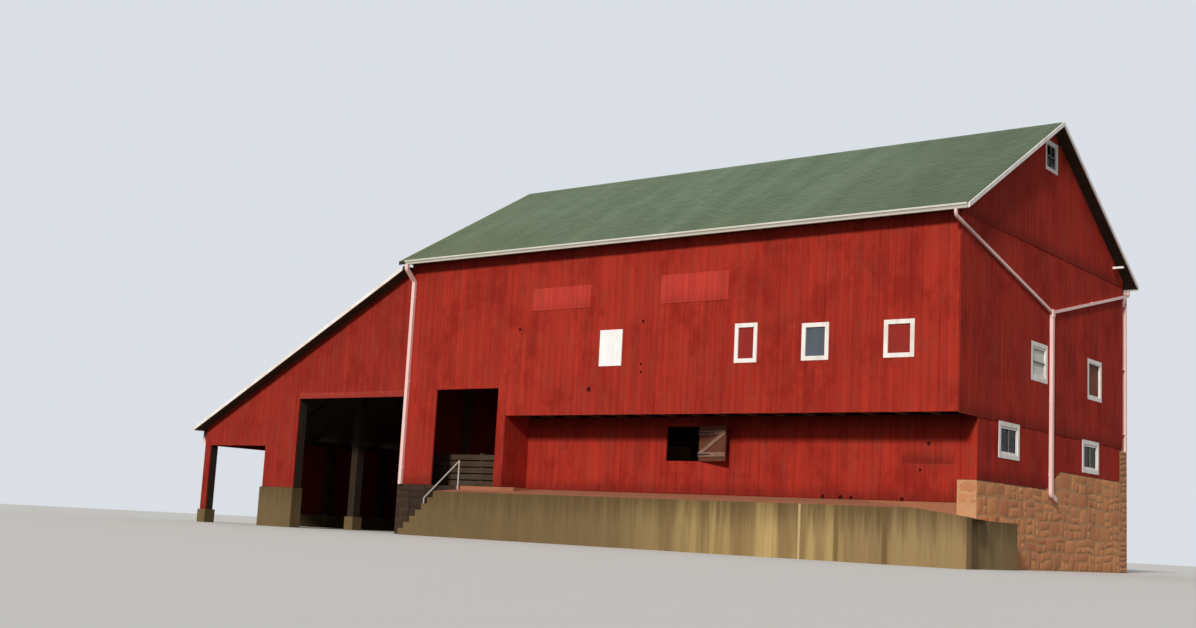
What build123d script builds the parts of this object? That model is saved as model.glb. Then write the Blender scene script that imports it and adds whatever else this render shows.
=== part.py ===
"""Red forebay barn with a lean-to on its left end, in millimetres.

The front faces -Y, the right gable faces +X and the lowest ground is z = 0.
The origin is under the middle of the whole building, at ground level.
"""
import os
from math import cos, radians, sin, tan

from build123d import *

# Main barn
forebay_length = 14200
drive_bay_length = 4300
barn_depth = 11300
forebay_reach = 1100
bay_count = 4
stable_height = 2120
eave_height = 4850
roof_pitch = 30.2
eave_overhang = 370
right_rake_overhang = 350
left_rake_overhang = 280
roof_thickness = 90
board_wall = 40

# Ground, stonework and the raised concrete apron
apron_front_height = 1320
apron_fall = 210
apron_reach = 1000
apron_side = 700
apron_dip = 160
apron_dip_length = 1300
apron_slab_thickness = 200
apron_wall_thickness = 300
apron_side_recess = 300
apron_side_length = 3600
stone_wall = 500
stone_step_rise = 530
stone_step_start = 5430
stone_step_run = 1020
stone_low_height = 2090
rear_stone_drop = 120
rear_stone_reach = 450
rear_stone_return = 220
floor_slab = 150

# Steps and handrail at the left end of the apron
step_count = 7
step_tread = 230
apron_left_run = 1750
rail_height = 850
rail_radius = 24
rail_setback = 96

# Lean-to
lean_to_width = 9800
lean_to_overhang = 200
lean_to_pitch = 26.8
lean_to_top_drop = 150
lean_to_front_overhang = 390
lean_bay_opening = 4940
lean_pier_width = 1580
lean_opening_height = 4250
lean_siding_band = 720
lean_siding_foot = 1300
lean_post = 300
eave_beam_depth = 240
footing_margin = 60
footing_height = 450

# Timber
timber = 200
joist_width = 120
joist_depth = 220
joist_spacing = 900
floor_board = 40
rafter_width = 100
rafter_depth = 160
rafter_spacing = 1850
seat_run = 120
ridge_board = 50
ridge_board_depth = 240
brace_run = 900
brace_width = 140
tie_drop = 300
purlin_setback = 2825
stable_aisles = (3500, 3160)
lean_rafter_spacing = 1560

# Openings in the board walls, as measured from the right gable or the front wall
front_window_openings = ((1547, 813, 930), (3863, 776, 955), (5925, 690, 1040))
front_window_sill = 1290
glazed_front_window = 1
white_panel_centre = 10378
white_panel_size = (785, 1020)
white_panel_foot = 1330
door_jamb_width = 320
door_width = 2540
door_head = 790
hatch_hinge = 8000
hatch_size = (1100, 950)
hatch_head_drop = 270
shutter_angle = 16
shutter_ledge = 120
guard_board_count = 5
guard_board_width = 160
guard_board_gap = 40
upper_gable_windows = ((4895, 1210, 1120, 1020), (8990, 1130, 1120, 1150))
lower_gable_windows = (2975, 8695)
lower_gable_window_size = (1290, 910)
lower_gable_window_head_drop = 30
peak_window_size = (900, 860)
peak_window_drop = 1354

# Trim and rainwater goods
casing_width = 110
casing_depth = 25
jamb = 25
pane_thickness = 12
panel_thickness = 25
rake_board_height = 120
rake_board_thickness = 30
ridge_cap_width = 170
ridge_cap_thickness = 14
gutter_width = 125
gutter_height = 120
gutter_wall = 6
gutter_sole = 75
gutter_roll = 78
gutter_belly = 10
gutter_setback = 100
outlet_margin = 75
pipe_width = 125
pipe_depth = 90
arm_width = 75
arm_depth = 60
pipe_wall = 4
pipe_standoff = 20
elbow_radius = 110
outlet_drop = 155
outlet_throw = 340
lean_outlet_drop = 310
lean_outlet_throw = 250
junction_height = 3150
junction_margin = 15
spout_foot_drop = 255
spout_kick = 310
spout_kick_drop = 125
strap_width = 40
strap_margin = 12
strap_setback = 500
strap_count = 3
lookout_size = 60
lookout_setback = 850
lookout_drop = 220

# Overall length
barn_length = forebay_length + drive_bay_length

# Levels
apron_back = apron_front_height + apron_fall
loft = apron_back + stable_height
eave = loft + eave_height
slope = tan(radians(roof_pitch))
lean_slope = tan(radians(lean_to_pitch))
roof_drop = roof_thickness / cos(radians(roof_pitch))
rafter_drop = rafter_depth / cos(radians(roof_pitch))
lean_roof_drop = roof_thickness / cos(radians(lean_to_pitch))
lean_rafter_drop = rafter_depth / cos(radians(lean_to_pitch))

# Plan lines, from what reaches furthest on each side
left_reach = lean_to_width + lean_to_overhang + gutter_width
rear_reach = eave_overhang + gutter_width
gable_x = (barn_length + left_reach - apron_side) / 2
left_x = gable_x - barn_length
lean_x = left_x - lean_to_width
bay_x = gable_x - forebay_length
front_y = (apron_reach - barn_depth - rear_reach) / 2
rear_y = front_y + barn_depth
middle_y = front_y + barn_depth / 2
lower_y = front_y + forebay_reach
apron_front = front_y - apron_reach
apron_left = bay_x - apron_left_run


def roof_top(y):
    """Height of the shingles above a point across the barn."""
    return eave + (barn_depth / 2 + eave_overhang - abs(y - middle_y)) * slope


def lean_top(x):
    """Height of the lean-to's shingles above a point along the barn."""
    return loft + eave_height - lean_to_top_drop - (left_x - x) * lean_slope


def lean_under(x):
    """Height of the underside of the lean-to's rafters."""
    return lean_top(x) - lean_roof_drop - lean_rafter_drop


def apron_level(y):
    """Height of the apron's top, which falls from the stable wall to its front edge."""
    return apron_front_height + (y - apron_front) * apron_fall / (lower_y - apron_front)


def front_plane(y=front_y):
    """Upright plane that faces the front, with local x to the right and y up."""
    return Plane(origin=(0, y, 0), x_dir=(1, 0, 0), z_dir=(0, -1, 0))


def rear_plane(y=rear_y):
    """Upright plane that faces the rear, with local x to the left and y up."""
    return Plane(origin=(0, y, 0), x_dir=(-1, 0, 0), z_dir=(0, 1, 0))


def right_plane(x=gable_x):
    """Upright plane that faces right, with local x to the rear and y up."""
    return Plane(origin=(x, 0, 0), x_dir=(0, 1, 0), z_dir=(1, 0, 0))


def left_plane(x=left_x):
    """Upright plane that faces left, with local x to the front and y up."""
    return Plane(origin=(x, 0, 0), x_dir=(0, -1, 0), z_dir=(-1, 0, 0))


def block(x, y, z, mode=Mode.ADD):
    """Box between a low and a high value on each axis."""
    with Locations(((x[0] + x[1]) / 2, (y[0] + y[1]) / 2, (z[0] + z[1]) / 2)):
        Box(x[1] - x[0], y[1] - y[0], z[1] - z[0], mode=mode)


def prism(plane, points, depth, mode=Mode.ADD):
    """Straight prism over a polygon drawn on a plane."""
    with BuildSketch(plane) as profile:
        with BuildLine():
            Polyline(*points, close=True)
        make_face()
    extrude(profile.sketch, amount=depth, mode=mode)


def cut_windows(plane, windows):
    """Cuts the hole for each window, as (centre, foot, width, height), through a board wall."""
    with BuildSketch(plane) as holes:
        for centre, foot, width, height in windows:
            with Locations((centre, foot + height / 2)):
                Rectangle(width - 2 * casing_width + 2 * jamb, height - 2 * casing_width + 2 * jamb)
    extrude(holes.sketch, amount=-board_wall, mode=Mode.SUBTRACT)


def frame_window(plane, centre, foot, width, height):
    """Flat casing on the boards and a jamb through them, around one opening."""
    clear = (width - 2 * casing_width, height - 2 * casing_width)
    with BuildSketch(plane) as casing:
        with Locations((centre, foot + height / 2)):
            Rectangle(width, height)
            Rectangle(*clear, mode=Mode.SUBTRACT)
    extrude(casing.sketch, amount=casing_depth)
    with BuildSketch(plane) as lining:
        with Locations((centre, foot + height / 2)):
            Rectangle(clear[0] + 2 * jamb, clear[1] + 2 * jamb)
            Rectangle(*clear, mode=Mode.SUBTRACT)
    extrude(lining.sketch, amount=-board_wall)


def fill_window(plane, centre, foot, width, height, thickness):
    """Sheet that closes one window, held in the middle of its jamb."""
    with BuildSketch(plane.offset((thickness - board_wall) / 2)) as sheet:
        with Locations((centre, foot + height / 2)):
            Rectangle(width - 2 * casing_width, height - 2 * casing_width)
    extrude(sheet.sketch, amount=-thickness)


def save(part, name):
    """Names a finished piece and writes its file."""
    part.part.label = name
    export_step(part.part, f"parts/{name}.step")


os.makedirs("parts", exist_ok=True)

# Stone and concrete, from the ground up

with BuildPart() as gable_foundation:
    step_low = front_y + stone_step_start
    step_high = step_low + stone_step_run
    stone_high_height = stone_low_height + stone_step_rise
    stone_end = rear_y - rear_stone_return
    prism(right_plane(), [
        (lower_y, 0), (stone_end, 0), (stone_end, stone_high_height),
        (step_high, stone_high_height), (step_low, stone_low_height),
        (lower_y, stone_low_height)], -stone_wall)
save(gable_foundation, "gable_foundation")

with BuildPart() as rear_foundation:
    rear_stone_top = loft - rear_stone_drop
    rear_stone_face = rear_y - stone_wall
    block((left_x, gable_x - stone_wall), (rear_stone_face, stone_end), (0, rear_stone_top))
    block((left_x, gable_x), (stone_end, rear_y + rear_stone_reach), (0, rear_stone_top))
save(rear_foundation, "rear_foundation")

with BuildPart() as left_foundation:
    block((left_x, left_x + stone_wall), (front_y, rear_y - stone_wall), (0, apron_back))
save(left_foundation, "left_foundation")

with BuildPart() as front_foundation:
    block((left_x + stone_wall, bay_x), (front_y, front_y + stone_wall), (0, apron_back))
    block((bay_x + stone_wall, gable_x - stone_wall), (lower_y, lower_y + stone_wall),
          (0, apron_back))
save(front_foundation, "front_foundation")

with BuildPart() as door_cross_foundation:
    block((bay_x, bay_x + stone_wall), (front_y, lower_y + stone_wall), (0, apron_back))
save(door_cross_foundation, "door_cross_foundation")

with BuildPart() as apron_wall:
    wall_top = apron_front_height - apron_slab_thickness
    side_end = apron_front + apron_side_length
    with BuildSketch():
        with BuildLine():
            Polyline(
                (apron_left, apron_front), (gable_x + apron_side, apron_front),
                (gable_x + apron_side, apron_front + apron_wall_thickness),
                (gable_x + apron_side - apron_side_recess, apron_front + apron_wall_thickness),
                (gable_x + apron_side - apron_side_recess, side_end), (gable_x, side_end),
                (gable_x, apron_front + apron_wall_thickness),
                (apron_left + apron_wall_thickness, apron_front + apron_wall_thickness),
                (apron_left + apron_wall_thickness, front_y), (apron_left, front_y), close=True)
        make_face()
    extrude(amount=wall_top)
save(apron_wall, "apron_wall")

with BuildPart() as apron_slab:
    with BuildSketch(Plane.XY.offset(wall_top)):
        with BuildLine():
            Polyline(
                (apron_left, apron_front), (gable_x + apron_side, apron_front),
                (gable_x + apron_side, side_end), (gable_x, side_end), (gable_x, lower_y),
                (bay_x + stone_wall, lower_y), (bay_x + stone_wall, front_y),
                (apron_left, front_y), close=True)
        make_face()
    extrude(amount=apron_back - wall_top)
    overcut = apron_reach
    prism(right_plane(gable_x + apron_side), [
        (apron_front, apron_front_height), (lower_y, apron_back),
        (lower_y, apron_back + overcut), (apron_front, apron_back + overcut)],
        -(apron_side + forebay_length + apron_left_run), mode=Mode.SUBTRACT)
    dip_plane = Plane(
        origin=(gable_x + apron_side - apron_dip_length, apron_front, apron_front_height),
        x_dir=(apron_dip_length, 0, -apron_dip),
        z_dir=Vector(apron_dip_length, 0, -apron_dip).cross(
            Vector(apron_dip_length, -apron_side_length, 0)) * -1)
    with BuildSketch(dip_plane):
        Rectangle(barn_length, barn_length)
    extrude(amount=overcut, mode=Mode.SUBTRACT)
save(apron_slab, "apron_slab")

with BuildPart() as apron_steps:
    rise = apron_front_height / step_count
    profile = [(apron_left, 0)]
    for step in range(step_count - 1):
        profile += [(apron_left - step * step_tread, apron_front_height - (step + 1) * rise),
                    (apron_left - (step + 1) * step_tread,
                     apron_front_height - (step + 1) * rise)]
    profile.append((apron_left - (step_count - 1) * step_tread, 0))
    prism(front_plane(), profile, apron_reach)
save(apron_steps, "apron_steps")

with BuildPart() as step_handrail:
    rail_y = front_y - rail_setback
    foot_x = apron_left - (step_count - 1) * step_tread + step_tread / 2
    foot_z = rise
    head = (apron_left + step_tread / 2, rail_y, apron_level(rail_y) + rail_height)
    rail_slope = rise / step_tread
    toe = (foot_x, rail_y, head[2] - (head[0] - foot_x) * rail_slope)
    with BuildLine():
        Line(head, toe)
    with BuildSketch(Plane(origin=head, z_dir=(toe[0] - head[0], 0, toe[2] - head[2]))):
        Circle(rail_radius)
    sweep()
    for post_x, post_foot, post_head in (
            (head[0], apron_level(rail_y + rail_radius), head[2]), (foot_x, foot_z, toe[2])):
        with BuildSketch(Plane(origin=(post_x, rail_y, post_foot))):
            Circle(rail_radius)
        extrude(amount=post_head - post_foot)
        with Locations((post_x, rail_y, post_head)):
            Sphere(rail_radius)
save(step_handrail, "step_handrail")

with BuildPart() as stable_floor:
    with BuildSketch(Plane.XY.offset(apron_back - floor_slab)):
        with BuildLine():
            Polyline(
                (left_x + stone_wall, front_y + stone_wall), (bay_x, front_y + stone_wall),
                (bay_x, lower_y + stone_wall), (gable_x - stone_wall, lower_y + stone_wall),
                (gable_x - stone_wall, rear_y - stone_wall),
                (left_x + stone_wall, rear_y - stone_wall), close=True)
        make_face()
    extrude(amount=floor_slab)
save(stable_floor, "stable_floor")

# Board walls of the main barn

siding_top = roof_top(front_y) - roof_drop - rafter_drop
front_windows = [
    (gable_x - offset, loft + front_window_sill, width, height)
    for offset, width, height in front_window_openings]
rear_windows = [(-centre, foot, width, height) for centre, foot, width, height in front_windows]
gable_windows = [
    (front_y + offset, loft + foot, width, height)
    for offset, foot, width, height in upper_gable_windows]
peak_window = (middle_y, roof_top(middle_y) - peak_window_drop, *peak_window_size)
stable_windows = [
    (front_y + offset, loft - lower_gable_window_head_drop - lower_gable_window_size[1],
     *lower_gable_window_size) for offset in lower_gable_windows]
door_right = bay_x - door_jamb_width
door_left = door_right - door_width

with BuildPart() as front_upper_wall:
    prism(front_plane(), [(door_right, loft), (gable_x - board_wall, loft),
                          (gable_x - board_wall, siding_top), (door_right, siding_top)],
          -board_wall)
    cut_windows(front_plane(), front_windows)
save(front_upper_wall, "front_upper_wall")

with BuildPart() as front_left_wall:
    prism(front_plane(), [(left_x + board_wall, apron_back), (door_left, apron_back),
                          (door_left, siding_top), (left_x + board_wall, siding_top)],
          -board_wall)
save(front_left_wall, "front_left_wall")

with BuildPart() as front_wall_over_door:
    prism(front_plane(), [
        (door_left, loft + door_head), (door_right, loft + door_head),
        (door_right, siding_top), (door_left, siding_top)], -board_wall)
save(front_wall_over_door, "front_wall_over_door")

with BuildPart() as lower_front_wall:
    hatch_right = gable_x - hatch_hinge
    hatch_left = hatch_right - hatch_size[0]
    hatch_top = loft - hatch_head_drop
    hatch_foot = hatch_top - hatch_size[1]
    prism(front_plane(lower_y), [(bay_x, apron_back), (gable_x - board_wall, apron_back),
                                 (gable_x - board_wall, loft), (bay_x, loft)], -board_wall)
    block((hatch_left, hatch_right), (lower_y, lower_y + board_wall), (hatch_foot, hatch_top),
          mode=Mode.SUBTRACT)
    block((gable_x - stone_wall, gable_x), (lower_y, lower_y + board_wall),
          (apron_back, stone_low_height), mode=Mode.SUBTRACT)
save(lower_front_wall, "lower_front_wall")

with BuildPart() as forebay_return_wall:
    return_front = front_y + board_wall
    block((door_right, bay_x), (front_y, return_front), (apron_back, loft))
    block((bay_x - board_wall, bay_x), (return_front, lower_y), (apron_back, loft))
save(forebay_return_wall, "forebay_return_wall")

with BuildPart() as gable_upper_wall:
    prism(right_plane(), [
        (front_y, loft), (rear_y, loft), (rear_y, roof_top(rear_y) - roof_drop),
        (middle_y, roof_top(middle_y) - roof_drop), (front_y, roof_top(front_y) - roof_drop)],
        -board_wall)
    cut_windows(right_plane(), gable_windows + [peak_window])
save(gable_upper_wall, "gable_upper_wall")

with BuildPart() as gable_lower_wall:
    prism(right_plane(), [
        (lower_y, stone_low_height), (step_low, stone_low_height),
        (step_high, stone_high_height), (stone_end, stone_high_height),
        (stone_end, rear_stone_top), (rear_y, rear_stone_top), (rear_y, loft),
        (lower_y, loft)], -board_wall)
    cut_windows(right_plane(), stable_windows)
save(gable_lower_wall, "gable_lower_wall")

with BuildPart() as left_gable_wall:
    prism(left_plane(), [
        (-rear_y, apron_back), (-front_y, apron_back),
        (-front_y, roof_top(front_y) - roof_drop), (-middle_y, roof_top(middle_y) - roof_drop),
        (-rear_y, roof_top(rear_y) - roof_drop)], -board_wall)
    block((left_x, left_x + board_wall), (rear_stone_face, rear_y),
          (apron_back, rear_stone_top), mode=Mode.SUBTRACT)
    cut_windows(left_plane(), [(-middle_y, *peak_window[1:])])
save(left_gable_wall, "left_gable_wall")

with BuildPart() as rear_upper_wall:
    prism(rear_plane(), [
        (board_wall - gable_x, rear_stone_top), (-left_x - board_wall, rear_stone_top),
        (-left_x - board_wall, siding_top), (board_wall - gable_x, siding_top)], -board_wall)
    cut_windows(rear_plane(), rear_windows)
save(rear_upper_wall, "rear_upper_wall")

# Timber frame: stable posts, girders, joists, loft floor, bents and rafters

bent_xs = [gable_x - board_wall - timber / 2]
bent_xs += [gable_x - forebay_length * bay / bay_count for bay in range(1, bay_count)]
bent_xs += [bay_x + timber / 2]
end_bent_x = left_x + board_wall + timber / 2
first_girder_y = lower_y + board_wall + timber / 2
girder_ys = (first_girder_y, first_girder_y + stable_aisles[0],
             first_girder_y + sum(stable_aisles))
joist_foot = loft
girder_foot = joist_foot - timber
loft_floor_foot = joist_foot + joist_depth
loft_floor_top = loft_floor_foot + floor_board
plate_y = board_wall + timber / 2
seat_height = (seat_run + board_wall) * slope
plate_top = siding_top + seat_height
plate_foot = plate_top - timber
tie_top = plate_foot - tie_drop
tie_foot = tie_top - timber
inner_ys = (front_y + purlin_setback, rear_y - purlin_setback)

with BuildPart() as stable_posts:
    for x in bent_xs:
        for y in girder_ys:
            if x == bent_xs[0]:
                post_x = x - stone_wall + board_wall
            else:
                post_x = x
            block((post_x - timber / 2, post_x + timber / 2), (y - timber / 2, y + timber / 2),
                  (apron_back, girder_foot))
save(stable_posts, "stable_posts")

with BuildPart() as floor_girders:
    for y in girder_ys:
        block((bay_x, gable_x - board_wall), (y - timber / 2, y + timber / 2),
              (girder_foot, joist_foot))
save(floor_girders, "floor_girders")

with BuildPart() as forebay_joists:
    joist_run = forebay_length - board_wall - joist_width
    joist_gaps = round(joist_run / joist_spacing)
    for count in range(joist_gaps + 1):
        x = bay_x + joist_width / 2 + joist_run * count / joist_gaps
        block((x - joist_width / 2, x + joist_width / 2),
              (front_y + board_wall + joist_width, rear_y - board_wall),
              (joist_foot, loft_floor_foot))
save(forebay_joists, "forebay_joists")

with BuildPart() as floor_sills:
    block((bay_x, gable_x - board_wall), (front_y + board_wall, front_y + board_wall + joist_width),
          (joist_foot, loft_floor_foot))
    block((left_x + board_wall, gable_x - board_wall), (rear_y - board_wall - timber,
          rear_y - board_wall), (rear_stone_top, joist_foot))
save(floor_sills, "floor_sills")

with BuildPart() as loft_floor:
    block((bay_x, gable_x - board_wall), (front_y + board_wall, rear_y - board_wall),
          (loft_floor_foot, loft_floor_top))
save(loft_floor, "loft_floor")

with BuildPart() as frame_posts:
    for x in bent_xs:
        for y in (front_y + plate_y, rear_y - plate_y):
            block((x - timber / 2, x + timber / 2), (y - timber / 2, y + timber / 2),
                  (loft_floor_top, plate_foot))
        for y in inner_ys:
            block((x - timber / 2, x + timber / 2), (y - timber / 2, y + timber / 2),
                  (loft_floor_top, tie_foot))
    block((end_bent_x - timber / 2, end_bent_x + timber / 2),
          (front_y + board_wall, front_y + board_wall + timber), (apron_back, plate_foot))
    block((end_bent_x - timber / 2, end_bent_x + timber / 2),
          (rear_y - board_wall - timber, rear_y - board_wall), (joist_foot, plate_foot))
    for y in inner_ys:
        block((end_bent_x - timber / 2, end_bent_x + timber / 2),
              (y - timber / 2, y + timber / 2), (apron_back, tie_foot))
save(frame_posts, "frame_posts")

with BuildPart() as tie_beams:
    for x in bent_xs + [end_bent_x]:
        block((x - timber / 2, x + timber / 2),
              (front_y + board_wall + timber, rear_y - board_wall - timber),
              (tie_foot, tie_top))
save(tie_beams, "tie_beams")

with BuildPart() as wall_plates:
    for y in (front_y + plate_y, rear_y - plate_y):
        block((left_x + board_wall, gable_x - board_wall), (y - timber / 2, y + timber / 2),
              (plate_foot, plate_top))
save(wall_plates, "wall_plates")

with BuildPart() as roof_purlins:
    purlin_tops = [
        roof_top(y - timber / 2 if y < middle_y else y + timber / 2)
        - roof_drop - rafter_drop + seat_run * slope for y in inner_ys]
    for y, top in zip(inner_ys, purlin_tops):
        block((left_x + board_wall, gable_x - board_wall), (y - timber / 2, y + timber / 2),
              (top - timber, top))
save(roof_purlins, "roof_purlins")

with BuildPart() as purlin_posts:
    for x in bent_xs + [end_bent_x]:
        for y, top in zip(inner_ys, purlin_tops):
            block((x - timber / 2, x + timber / 2), (y - timber / 2, y + timber / 2),
                  (tie_top, top - timber))
save(purlin_posts, "purlin_posts")

with BuildPart() as frame_braces:
    for x in bent_xs + [end_bent_x]:
        for side, face in ((1, front_y + board_wall + timber), (-1, rear_y - board_wall - timber)):
            prism(right_plane(x - joist_width / 2), [
                (face, tie_foot - brace_run), (face, tie_foot - brace_run - brace_width),
                (face + side * (brace_run + brace_width), tie_foot),
                (face + side * brace_run, tie_foot)], joist_width)
save(frame_braces, "frame_braces")

with BuildPart() as main_rafters:
    rafter_run = barn_length - 2 * board_wall - rafter_width
    rafter_gaps = round(rafter_run / rafter_spacing)
    tail = barn_depth / 2 + eave_overhang
    for count in range(rafter_gaps + 1):
        x = left_x + board_wall + rafter_width + rafter_run * count / rafter_gaps
        for side in (-1, 1):
            eave_y = middle_y + side * tail
            head_y = middle_y + side * ridge_board / 2
            prism(right_plane(x), [
                (eave_y, roof_top(eave_y) - roof_drop), (head_y, roof_top(head_y) - roof_drop),
                (head_y, roof_top(head_y) - roof_drop - rafter_drop),
                (eave_y, roof_top(eave_y) - roof_drop - rafter_drop)], -rafter_width)
    for y in (front_y + plate_y, rear_y - plate_y):
        block((left_x, gable_x), (y - timber / 2, y + timber / 2), (plate_foot, plate_top),
              mode=Mode.SUBTRACT)
    for y, top in zip(inner_ys, purlin_tops):
        block((left_x, gable_x), (y - timber / 2, y + timber / 2), (top - timber, top),
              mode=Mode.SUBTRACT)
    for tail_ys in ((front_y - eave_overhang, front_y), (rear_y, rear_y + eave_overhang)):
        block((left_x, gable_x), tail_ys, (loft, siding_top), mode=Mode.SUBTRACT)
save(main_rafters, "main_rafters")

with BuildPart() as ridge_beam:
    prism(right_plane(gable_x - board_wall), [
        (middle_y - ridge_board / 2, roof_top(middle_y - ridge_board / 2) - roof_drop),
        (middle_y + ridge_board / 2, roof_top(middle_y + ridge_board / 2) - roof_drop),
        (middle_y + ridge_board / 2, roof_top(middle_y) - roof_drop - ridge_board_depth),
        (middle_y - ridge_board / 2, roof_top(middle_y) - roof_drop - ridge_board_depth)],
        -(barn_length - 2 * board_wall))
save(ridge_beam, "ridge_beam")

# Main roof

roof_left = left_x - left_rake_overhang
roof_right = gable_x + right_rake_overhang
eave_ys = (front_y - eave_overhang, rear_y + eave_overhang)

for name, eave_y in zip(("main_roof_front", "main_roof_rear"), eave_ys):
    with BuildPart() as roof_slope:
        prism(right_plane(roof_right), [
            (eave_y, roof_top(eave_y)), (middle_y, roof_top(middle_y)),
            (middle_y, roof_top(middle_y) - roof_drop), (eave_y, roof_top(eave_y) - roof_drop)],
            roof_left - roof_right)
    save(roof_slope, name)

with BuildPart() as ridge_cap:
    ridge_line = [(middle_y + side * ridge_cap_width, roof_top(middle_y + ridge_cap_width))
                  for side in (-1, 1)]
    prism(right_plane(roof_right), [
        ridge_line[0], (middle_y, roof_top(middle_y)), ridge_line[1],
        (ridge_line[1][0], ridge_line[1][1] + ridge_cap_thickness),
        (middle_y, roof_top(middle_y) + ridge_cap_thickness),
        (ridge_line[0][0], ridge_line[0][1] + ridge_cap_thickness)], roof_left - roof_right)
save(ridge_cap, "ridge_cap")

with BuildPart() as rake_boards:
    rake_foot = rake_board_height - ridge_cap_thickness
    for plane in (right_plane(roof_right), right_plane(roof_left - rake_board_thickness)):
        prism(plane, [
            (eave_ys[0], roof_top(eave_ys[0]) + ridge_cap_thickness),
            (middle_y, roof_top(middle_y) + ridge_cap_thickness),
            (eave_ys[1], roof_top(eave_ys[1]) + ridge_cap_thickness),
            (eave_ys[1], roof_top(eave_ys[1]) - rake_foot),
            (middle_y, roof_top(middle_y) - rake_foot),
            (eave_ys[0], roof_top(eave_ys[0]) - rake_foot)], rake_board_thickness)
save(rake_boards, "rake_boards")

with BuildPart() as rake_lookout:
    lookout_y = rear_y - lookout_setback
    lookout_top = roof_top(lookout_y) - roof_drop - lookout_drop
    prism(right_plane(gable_x), [
        (lookout_y - lookout_size / 2, lookout_top - lookout_size),
        (lookout_y + lookout_size / 2, lookout_top - lookout_size),
        (lookout_y + lookout_size / 2, lookout_top),
        (lookout_y - lookout_size / 2, lookout_top)], right_rake_overhang)
save(rake_lookout, "rake_lookout")

# Lean-to on the left end

lean_front = front_y
lean_rear = rear_y
lean_eave_x = lean_x - lean_to_overhang
opening_right = left_x
pier_right = left_x - lean_bay_opening
pier_left = pier_right - lean_pier_width
corner_right = lean_x + lean_post
lean_low_opening_height = lean_top(lean_x) - lean_siding_band

with BuildPart() as lean_to_footings:
    block((pier_left - footing_margin, pier_right + footing_margin),
          (lean_front - footing_margin, lean_front + lean_post + footing_margin),
          (0, lean_siding_foot))
    post_ys = [lean_front + lean_post / 2
               + (barn_depth - lean_post) * count / bay_count for count in range(bay_count)]
    for y in post_ys:
        block((lean_x - footing_margin, lean_x + lean_post + footing_margin),
              (y - lean_post / 2 - footing_margin, y + lean_post / 2 + footing_margin),
              (0, footing_height))
    block((lean_x, corner_right), (post_ys[1], lean_rear - stone_wall), (0, footing_height))
    mid_ys = post_ys[1:]
    for y in mid_ys:
        block((pier_right - lean_post - footing_margin, pier_right + footing_margin),
              (y - lean_post / 2 - footing_margin, y + lean_post / 2 + footing_margin),
              (0, footing_height))
save(lean_to_footings, "lean_to_footings")

with BuildPart() as lean_to_rear_foundation:
    block((lean_x, left_x), (lean_rear - stone_wall, lean_rear), (0, lean_siding_foot))
save(lean_to_rear_foundation, "lean_to_rear_foundation")

with BuildPart() as lean_to_posts:
    beam_foot = lean_under(lean_x + lean_post) - eave_beam_depth
    mid_beam_foot = lean_under(pier_right - lean_post) - timber
    for y in post_ys:
        block((lean_x + board_wall, lean_x + lean_post), (y - lean_post / 2 + board_wall,
              y + lean_post / 2), (footing_height, beam_foot))
    for y in mid_ys:
        block((pier_right - lean_post, pier_right), (y - lean_post / 2, y + lean_post / 2),
              (footing_height, mid_beam_foot))
    block((pier_right - lean_post, pier_right), (lean_front + board_wall,
          lean_front + board_wall + lean_post), (lean_siding_foot, mid_beam_foot))
save(lean_to_posts, "lean_to_posts")

with BuildPart() as lean_to_beams:
    eave_beam_top = lean_under(lean_x + board_wall) + seat_run * lean_slope
    block((lean_x + board_wall, lean_x + lean_post), (lean_front + board_wall,
          lean_rear - board_wall), (beam_foot, eave_beam_top))
    mid_beam_top = lean_under(pier_right - lean_post) + seat_run * lean_slope
    block((pier_right - lean_post, pier_right), (lean_front + board_wall,
          lean_rear - board_wall), (mid_beam_foot, mid_beam_top))
    ledger_top = lean_under(left_x - timber / 2)
    block((left_x - timber / 2, left_x), (lean_front + board_wall, lean_rear - board_wall),
          (ledger_top - timber, ledger_top))
save(lean_to_beams, "lean_to_beams")

with BuildPart() as lean_to_rafters:
    lean_run = barn_depth - 2 * board_wall - rafter_width
    lean_gaps = round(lean_run / lean_rafter_spacing)
    for count in range(lean_gaps + 1):
        y = lean_front + board_wall + rafter_width + lean_run * count / lean_gaps
        prism(front_plane(y), [
            (lean_eave_x, lean_top(lean_eave_x) - lean_roof_drop),
            (left_x, lean_top(left_x) - lean_roof_drop), (left_x, lean_under(left_x)),
            (lean_eave_x, lean_under(lean_eave_x))], rafter_width)
    block((lean_x + board_wall, lean_x + lean_post), (lean_front, lean_rear),
          (beam_foot, eave_beam_top), mode=Mode.SUBTRACT)
    block((pier_right - lean_post, pier_right), (lean_front, lean_rear),
          (mid_beam_foot, mid_beam_top), mode=Mode.SUBTRACT)
save(lean_to_rafters, "lean_to_rafters")

with BuildPart() as lean_to_front_wall:
    prism(front_plane(lean_front), [
        (lean_x, lean_top(lean_x) - lean_roof_drop), (lean_x, footing_height),
        (corner_right, footing_height), (corner_right, lean_low_opening_height),
        (pier_left, lean_low_opening_height), (pier_left, lean_siding_foot),
        (pier_right, lean_siding_foot), (pier_right, lean_opening_height),
        (opening_right, lean_opening_height), (opening_right, lean_top(left_x) - lean_roof_drop)],
        -board_wall)
save(lean_to_front_wall, "lean_to_front_wall")

with BuildPart() as lean_to_side_wall:
    closed_front = post_ys[1] - lean_post / 2
    prism(left_plane(lean_x), [
        (-lean_rear + board_wall, lean_siding_foot), (-lean_rear + stone_wall, lean_siding_foot),
        (-lean_rear + stone_wall, footing_height), (-closed_front, footing_height),
        (-closed_front, lean_low_opening_height),
        (-lean_front - board_wall, lean_low_opening_height),
        (-lean_front - board_wall, lean_under(lean_x)),
        (-lean_rear + board_wall, lean_under(lean_x))], -board_wall)
save(lean_to_side_wall, "lean_to_side_wall")

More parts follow.
